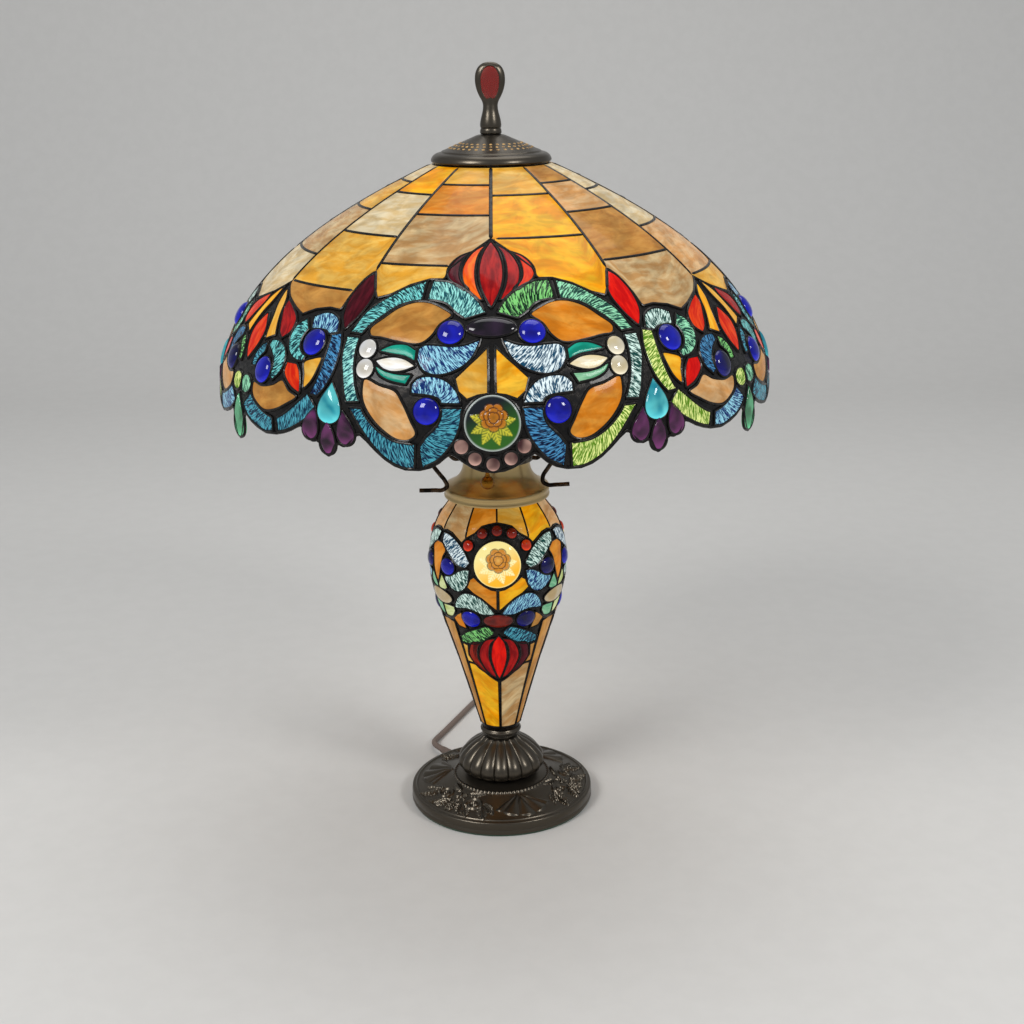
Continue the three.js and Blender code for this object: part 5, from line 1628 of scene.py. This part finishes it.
@dataclass
class Cluster:
    """Wire arms and pull chains under the shade."""

    wire_radius: float = 1.85
    start: tuple[float, float] = (31.1, -11.3)
    level: float = 321.95
    left: Points = ((-45, -17, 331.95), (-54.5, -20, 331.45), (-57.2, -20, 324.95),
                    (-53.4, -20, 318.3), (-48.5, -20, 311.5), (-43.5, -20, 304.7),
                    (-41.9, -20, 300), (-45.5, -20, 297), (-53, -20, 296.7), (-65.5, -20, 296.6))
    right: Points = ((42, -17, 331.95), (49.5, -20, 332.45), (52, -20, 326.95),
                     (48.2, -20, 321.5), (43.5, -20, 314.6), (39.4, -20, 307.4),
                     (39.6, -20, 302.8), (43.6, -20, 300.2), (50.5, -20, 300.2),
                     (62, -20, 300.7))
    bead_pitch: float = 2.9
    bead_radius: float = 1.3
    link_radius: float = 0.45

    def arms(self) -> None:
        """Bends the two wire arms."""
        for side, places in (("left", self.left), ("right", self.right)):
            way = -1 if side == "left" else 1
            x, y = way * self.start[0], self.start[1]
            whole = [(x, y, self.level), (1.1 * x, 1.1 * y, self.level), *places]
            stock = Stock()
            bar = capped(swept(curve(whole, 90), self.wire_radius, 14))
            stock.grid(bar, False, True)
            settle(stock.build(f"wire_arm_{side}_bent", Finish.WIRE), "lamp_body", "dark_bronze",
                   f"wire_arm_{side}")

    def chains(self) -> None:
        """Strings each pull chain of round beads, and turns the ball at its end."""
        for side in ("front", "back"):
            low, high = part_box(f"pull_chain_{side}")
            x, y = (low.x + high.x) / 2 / MM, (low.y + high.y) / 2 / MM
            foot, top = low.z / MM, high.z / MM
            run = np.linspace(foot, top, int((top - foot) / 0.2))
            beat = np.mod(run - foot, self.bead_pitch) / self.bead_pitch * 2 - 1
            reach = np.sqrt(np.clip(1 - (beat * 1.12) ** 2, 0, 1)) * self.bead_radius
            path = np.stack([np.full_like(run, x), np.full_like(run, y), run], axis=1)
            stock = Stock()
            stock.grid(capped(swept(path, np.maximum(reach, self.link_radius), 12)), False, True)
            settle(stock.build(f"pull_chain_{side}_beads", Finish.BRIGHT_BRASS), f"pull_{side}",
                   "aged_brass", f"pull_chain_{side}")
            low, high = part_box(f"pull_ball_{side}")
            radius = (high.x - low.x) / 2 / MM
            foot, top = low.z / MM, high.z / MM
            turn = np.linspace(0, np.pi * 0.9, 40)[1:]
            ball = [(radius * math.sin(a), foot + radius * (1 - math.cos(a))) for a in turn]
            stem = [(2.3, top - 3.0), (2.3, top - 2.2), (1.7, top - 1.8), (1.7, top - 0.4),
                    (1.3, top)]
            line = np.array(ball + stem)
            path = np.stack([np.full(len(line), x), np.full(len(line), y), line[:, 1]], axis=1)
            stock = Stock()
            stock.grid(upright(path, line[:, 0], 40), False, True)
            settle(stock.build(f"pull_ball_{side}_turned", Finish.BRIGHT_BRASS), f"pull_{side}",
                   "aged_brass", f"pull_ball_{side}")

    def build(self) -> None:
        """Makes the arms and chains."""
        self.arms()
        self.chains()


def curve(points: Sequence[Sequence[float]], count: int) -> np.ndarray:
    """A smooth line in space through points, evenly spaced, with cubics between the points."""
    line = np.array(points, float)
    chord = np.linalg.norm(np.diff(line, axis=0), axis=1)
    knots = np.concatenate([[0.0], np.cumsum(chord)])
    slopes = np.gradient(line, knots, axis=0)
    place = np.linspace(0, knots[-1], count)
    cell = np.clip(np.searchsorted(knots, place, side="right") - 1, 0, len(chord) - 1)
    width = chord[cell][:, None]
    t = (place - knots[cell])[:, None] / width
    return (line[cell] * (2 * t**3 - 3 * t**2 + 1) + slopes[cell] * width * (t**3 - 2 * t**2 + t)
            + line[cell + 1] * (3 * t**2 - 2 * t**3) + slopes[cell + 1] * width * (t**3 - t**2))


def upright(path: np.ndarray, radius: np.ndarray, sides: int) -> np.ndarray:
    """Level rings about an upright line, drawn in to a point at both ends."""
    turn = np.linspace(0, 2 * np.pi, sides, endpoint=False)
    reach = np.concatenate([[0.0], radius, [0.0]])
    whole = np.vstack([path[:1], path, path[-1:]])
    ring = np.stack([np.cos(turn), np.sin(turn), np.zeros(sides)], axis=1)
    return whole[:, None] + ring[None] * reach[:, None, None]


# ---------------------------------------------------------------- vent cap and finial
@dataclass
class VentCap:
    """The spun cap on the shade: a convex skirt, a groove, and rows of holes with light in them."""

    bottom: float = 568.3
    height: float = 21.0
    bore: float = 5.4
    wall: float = 1.2
    skirt: Points = ((48.3, 0.0), (48.8, 0.5), (48.9, 1.4), (48.4, 3.0), (47.2, 4.8), (45.2, 6.2),
                     (43, 7.0), (41.4, 7.2), (40.6, 7.6))
    cone: Points = ((40.2, 8.3), (39.2, 8.7), (36, 10.0), (31.4, 12.0), (24.5, 14.9),
                    (18, 17.6), (13.7, 19.5), (11.4, 20.4), (8.6, 21))
    slot_rows: tuple[tuple[float, int], ...] = ((33.6, 36), (29.4, 36), (25.4, 30))
    slot_half: tuple[float, float, float] = (1.3, 1.15, 0.3)

    def build(self) -> None:
        """Makes the cap and its slots."""
        skirt = [tuple(p) for p in smooth(self.skirt, 40, scale=1.0)]
        cone = [tuple(p) for p in smooth(self.cone, 70, scale=1.0)]
        under = [(r - 0.4, z - self.wall) for r, z in reversed(cone)]
        outline = skirt + cone + [(self.bore, self.height), (self.bore, self.height - self.wall)]
        outline = [(r, z + self.bottom) for r, z in outline + under + [(44.5, 1.2)]]
        stock = Stock()
        stock.grid(lathe(outline, 160))
        settle(stock.build("vent_cap_spun", Finish.BRONZE), "shade", "dark_bronze", "vent_cap")
        line = np.array(cone)[::-1]
        holes = Stock()
        for radius, count in self.slot_rows:
            level = float(np.interp(radius, line[:, 0], line[:, 1])) + self.bottom
            near = float(np.interp(radius + 1, line[:, 0], line[:, 1])) + self.bottom
            slope = level - near
            for angle in np.arange(count) * 2 * np.pi / count:
                self.slot(holes, radius, level, slope, float(angle))
        settle(holes.build("vent_slots", Finish.SLOT_LIGHT), "shade", "bulb_glass")

    def slot(self, holes: Stock, radius: float, level: float, slope: float, angle: float) -> None:
        """Adds one hole with light in it: a flat oval that lies in the cone."""
        t = np.linspace(0, 2 * np.pi, 12, endpoint=False)[:, None]
        k = np.array([[0.0, 0.7, 1.0, 1.0, 0.7, 0.0]])
        lift = np.array([[1.0, 0.9, 0.3, -1.0, -1.4, -1.4]]) * self.slot_half[2]
        across = self.slot_half[0] * k * np.cos(t)
        along = self.slot_half[1] * k * np.sin(t)
        lean = math.atan(slope)
        out = radius + along * math.cos(lean) + lift * math.sin(lean)
        height = level - along * math.sin(lean) + lift * math.cos(lean)
        x = out * math.sin(angle) + across * math.cos(angle)
        y = -out * math.cos(angle) + across * math.sin(angle)
        holes.grid(np.stack([x, y, height], axis=-1), True, False)


@dataclass
class Finial:
    """A turned stem that opens into a flat spoon with an oval of red glass in it."""

    bottom: float = 589.6
    height: float = 55.8
    half_width: float = 12.1
    flattening: float = 0.42
    foot_radius: float = 8.6
    glass_level: float = 39.6
    glass_half: tuple[float, float] = (7.5, 13.2)
    foot_line: Points = ((0.92, 0), (1, 0.012), (1, 0.05), (0.97, 0.07), (0.93, 0.08),
                         (0.98, 0.095), (1, 0.13), (0.95, 0.19), (0.86, 0.25), (0.76, 0.31),
                         (0.7, 0.365), (0.7, 0.41))
    spoon_line: Points = ((0.56, 0.46), (0.72, 0.525), (0.87, 0.6), (0.975, 0.69), (1, 0.77),
                          (0.94, 0.86), (0.76, 0.935), (0.46, 0.983), (0.2, 0.997), (0.0, 1.0))

    def build(self) -> None:
        """Makes the bronze body with a raised frame on each face, and the glass."""
        places = [(self.foot_radius * r, self.height * z) for r, z in self.foot_line]
        places += [(self.half_width * r, self.height * z) for r, z in self.spoon_line]
        line = smooth(places, 120, scale=1.0)
        line[:, 0] = np.maximum(line[:, 0], 0.0)
        line[:, 1] = np.minimum(line[:, 1], self.height)
        rings = lathe([(0.0, 0.0), *[tuple(p) for p in line]], 96)
        share = np.clip((rings[..., 2] / self.height - 0.36) / 0.26, 0, 1)
        share = share * share * (3 - 2 * share)
        rings[..., 1] *= 1 - (1 - self.flattening) * share
        rings[..., 2] += self.bottom
        stock = Stock()
        stock.grid(rings, True, False)
        t = np.linspace(0, 2 * np.pi, 64, endpoint=False)
        for face in (-1, 1):
            x = self.glass_half[0] * 1.05 * np.sin(t) * (1 + 0.14 * np.cos(t))
            z = self.glass_half[1] * 1.04 * np.cos(t)
            y = face * self.half_width * self.flattening * 0.9 * np.sqrt(
                np.clip(1 - (x / self.half_width) ** 2 - (z / 26.0) ** 2, 0.05, 1))
            path = np.stack([x, y, z + self.bottom + self.glass_level], axis=1)
            stock.grid(swept(path, 0.8, 10, closed=True))
        settle(stock.build("finial_cast", Finish.BRONZE), "finial", "dark_bronze", "finial")
        turn = np.linspace(0, 2 * np.pi, 48, endpoint=False)[:, None]
        rise = np.linspace(0, np.pi, 28)[None]
        across = np.sin(rise) * np.sin(turn)
        depth = np.sin(rise) * np.cos(turn)
        along = -np.cos(rise) + 0 * turn
        full = (across**8 + depth**8 + along**8) ** (1 / 8)
        ellipse = np.hypot(across, along) / full
        near = 1 / np.maximum(ellipse, 1.0)
        lens = np.stack([
            self.glass_half[0] * across / full * near * (1 + 0.14 * along),
            (self.half_width * self.flattening + 0.5) * depth / full,
            self.glass_half[1] * along / full * near + self.bottom + self.glass_level,
        ], axis=-1)
        # The red lens gets a faint painted glow from its finish; nothing lights it from behind.
        glass = Stock()
        glass.grid(lens, True, False)
        settle(glass.build("finial_lens", Finish.RED_LENS), "finial", "red_glass", "finial_glass")


# ---------------------------------------------------------------- cord
@dataclass
class Cord:
    """The lead: over the table behind the lamp, then a coil of two layers, to its plug."""

    length: float = 1800.0
    diameter: float = 5.5
    route: Points = ((-57.9, 79.69, 7.0), (-60.25, 82.92, 7.0), (-63, 87.6, 6.5),
                     (-65.1, 92.9, 5.7), (-66, 99.1, 4.7), (-65.7, 105.4, 3.8),
                     (-63.9, 112, 3.1), (-59.9, 122, 2.75), (-54.4, 135.5, 2.75),
                     (-44.9, 159, 2.75), (-35.5, 182.5, 2.75),
                     (-26, 206, 2.75), (-18.8, 228, 2.75), (-10.4, 250, 2.75),
                     (-0.6, 271, 2.75), (10.2, 291, 2.75), (20.4, 311, 2.75),
                     (28.6, 329, 2.75), (33.6, 343, 2.75), (36.6, 357, 2.75),
                     (37.25, 372, 2.75))
    coil_centre: tuple[float, float] = (-4.0, 372.0)
    coil_radius: float = 41.25
    turns: float = 4.0
    places_per_turn: int = 36
    lower_level: float = 2.75
    upper_level: float = 8.3
    tail_deg: float = 40.0
    tail_radius: float = 36.0
    tail_level: float = 18.3
    relief_from: float = 82.3
    relief_length: float = 15.9
    relief_radii: tuple[float, float] = (4.4, 3.2)
    relief_level: float = 7.0
    out: tuple[float, float] = (-0.5877853, 0.809017)

    def path(self, inner: float) -> np.ndarray:
        """The cord's middle line when its coil winds in to that radius.

        The lower layer is a spiral inwards and the upper one a spiral outwards; the cord climbs
        between them over the first part of a turn, and its tail rises into the plug.
        """
        steps = int(self.turns * self.places_per_turn)
        turn = np.linspace(0, self.turns, steps + 1)[1:]
        inward = self.coil_radius + (inner - self.coil_radius) * turn / self.turns
        outward = inner + (self.coil_radius - inner) * turn / self.turns
        climb = np.clip(turn / 0.24, 0, 1)
        climb = climb * climb * (3 - 2 * climb)
        rise = self.lower_level + (self.upper_level - self.lower_level) * climb
        angle = np.concatenate([turn, self.turns + turn]) * 2 * np.pi
        radius = np.concatenate([inward, outward])
        level = np.concatenate([np.full(steps, self.lower_level), rise])
        end = np.linspace(0, 1, 16)[1:]
        angle = np.concatenate([angle, np.radians(self.tail_deg) * end])
        radius = np.concatenate([radius, self.coil_radius
                                 + (self.tail_radius - self.coil_radius) * end**2])
        level = np.concatenate([level, self.upper_level + (self.tail_level - self.upper_level)
                                * end * end * (3 - 2 * end)])
        coil = np.stack([self.coil_centre[0] + radius * np.cos(angle),
                         self.coil_centre[1] + radius * np.sin(angle), level], axis=1)
        return np.vstack([curve(self.route, 120)[:-1], coil])

    def fitted(self) -> np.ndarray:
        """The line whose coil winds in just far enough to give the cord its length."""
        low, high = 8.0, self.coil_radius - 5.6 * self.turns + 8.0
        for _ in range(40):
            middle = (low + high) / 2
            run = np.linalg.norm(np.diff(self.path(middle), axis=0), axis=1).sum()
            low, high = (middle, high) if run < self.length else (low, middle)
        return self.path((low + high) / 2)

    def build(self) -> None:
        ways = np.linspace(0, 1, 80)
        reach = self.relief_radii[0] + (self.relief_radii[1] - self.relief_radii[0]) * ways
        reach = reach - 0.28 * (np.cos(ways * 2 * np.pi * 7) > 0.2) * (ways > 0.12)
        at = self.relief_from + self.relief_length * ways
        line = np.stack([self.out[0] * at, self.out[1] * at,
                         np.full(len(at), self.relief_level)], axis=1)
        stock = Stock()
        stock.grid(capped(swept(line, reach, 24)), False, True)
        relief = settle(stock.build("strain_relief_ribbed", Finish.VINYL), "lamp_body",
                        "cord_vinyl", "strain_relief")
        path = self.fitted()
        tube = Stock()
        tube.grid(capped(swept(path, self.diameter / 2, 12)), False, True)
        cord = settle(tube.build("cord_lead", Finish.VINYL), "lamp_body", "cord_vinyl",
                      "cord_tube", "cord_coil")


# ---------------------------------------------------------------- carried-over parts
CARRIED: dict[str, tuple[Finish, str]] = {
    "base_felt": (Finish.FELT, "base_felt"),
    "base_washer": (Finish.STEEL, "rod_steel"),
    "base_nut": (Finish.STEEL, "rod_steel"),
    "lower_rod": (Finish.STEEL, "rod_steel"),
    "upper_rod": (Finish.STEEL, "rod_steel"),
    "urn_seat": (Finish.BRASS, "aged_brass"),
    "urn_top_plate": (Finish.BRASS, "aged_brass"),
    "night_bracket": (Finish.STEEL, "rod_steel"),
    "night_socket": (Finish.PORCELAIN, "socket_ceramic"),
    "night_bulb": (Finish.FROST, "bulb_glass"),
    "cluster_plate": (Finish.BRONZE, "dark_bronze"),
    "cluster_body": (Finish.BRASS, "aged_brass"),
    "socket_arm_front": (Finish.BRASS, "aged_brass"),
    "socket_arm_back": (Finish.BRASS, "aged_brass"),
    "socket_front": (Finish.BRASS, "socket_brass"),
    "socket_back": (Finish.BRASS, "socket_brass"),
    "bulb_front": (Finish.FROST, "bulb_glass"),
    "bulb_back": (Finish.FROST, "bulb_glass"),
    "shade_ring": (Finish.BRASS, "aged_brass"),
    "support_disc": (Finish.STEEL, "rod_steel"),
    "plug_body": (Finish.VINYL, "cord_vinyl"),
    "plug_blade_left": (Finish.BRIGHT_BRASS, "rod_steel"),
    "plug_blade_right": (Finish.BRIGHT_BRASS, "rod_steel"),
}


def dress_carried() -> None:
    """Gives the parts that are shown as they were packed their finishes."""
    for name, (finish, slot) in CARRIED.items():
        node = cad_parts[name]
        node.data.materials.clear()
        node.data.materials.append(finish.material)


# ---------------------------------------------------------------- camera, floor and light
@dataclass
class Studio:
    """Camera, pale floor and soft light."""

    lens_mm: float = 54.67
    sensor_mm: float = 36.0
    camera_at: tuple[float, float, float] = (0.01284, -1.288, 0.66865)
    pitch_deg: float = 72.81
    roll_deg: float = -0.794
    floor_half: float = 4.0
    backdrop_at: float = 2.6
    bend: float = 1.0
    backdrop_top: float = 4.0
    aim_height: float = 0.35
    world_level: float = 0.46
    lamps: tuple[tuple[str, tuple[float, float, float], float, float], ...] = (
        ("key", (-1.5, -1.6, 2.0), 0.9, 40.0),
        ("fill", (1.5, -1.4, 1.7), 0.5, 20.0),
        ("top", (0.2, 0.6, 2.4), 1.6, 18.0),
    )

    def camera(self) -> None:
        """Makes the camera."""
        data = bpy.data.cameras.new("camera")
        data.lens = self.lens_mm
        data.sensor_width = self.sensor_mm
        camera = bpy.data.objects.new("camera", data)
        bpy.context.scene.collection.objects.link(camera)
        turn = Matrix.Rotation(math.radians(self.pitch_deg), 4, "X")
        roll = Matrix.Rotation(math.radians(self.roll_deg), 4, "Z")
        camera.matrix_world = Matrix.Translation(self.camera_at) @ turn @ roll
        bpy.context.scene.camera = camera

    def floor(self) -> None:
        """Makes the floor, which curves up into a backdrop."""
        flat = np.linspace(-self.floor_half, self.backdrop_at - self.bend, 20)
        turn = np.linspace(0, np.pi / 2, 24)[1:]
        bent = self.backdrop_at - self.bend + self.bend * np.sin(turn)
        depth = np.concatenate([flat, bent, [self.backdrop_at]])
        level = np.concatenate([0 * flat, self.bend * (1 - np.cos(turn)), [self.backdrop_top]])
        across = np.linspace(-self.floor_half, self.floor_half, 3)
        width, length = np.meshgrid(across, depth, indexing="ij")
        sheet = np.stack([width, length, np.broadcast_to(level, width.shape)], axis=-1)
        stock = Stock()
        stock.grid(sheet / MM, False, False)
        stock.build("floor", Finish.FLOOR)

    def light(self) -> None:
        """Makes the soft boxes and the even surrounding light."""
        world = bpy.data.worlds.new("studio")
        world.use_nodes = True
        ground = world.node_tree.nodes["Background"]
        ground.inputs["Color"].default_value = (0.9, 0.94, 1.0, 1.0)
        ground.inputs["Strength"].default_value = self.world_level
        bpy.context.scene.world = world
        bpy.context.scene.view_settings.view_transform = "Standard"
        for name, place, size, power in self.lamps:
            data = bpy.data.lights.new(name, "AREA")
            data.size = size
            data.energy = power
            lamp = bpy.data.objects.new(name, data)
            bpy.context.scene.collection.objects.link(lamp)
            aim = Vector((0, 0, self.aim_height)) - Vector(place)
            lamp.rotation_euler = aim.to_track_quat("-Z", "Y").to_euler()
            lamp.location = place


def main() -> None:
    """Builds the scene."""
    logging.basicConfig(level=logging.INFO, format="%(message)s")
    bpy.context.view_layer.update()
    studio = Studio()
    studio.camera()
    Cord().build()
    Shade().build()
    Urn().build()
    Base().build()
    UrnCap().build()
    Cluster().build()
    VentCap().build()
    Finial().build()
    dress_carried()
    studio.floor()
    studio.light()
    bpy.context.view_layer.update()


if __name__ == "__main__":
    main()
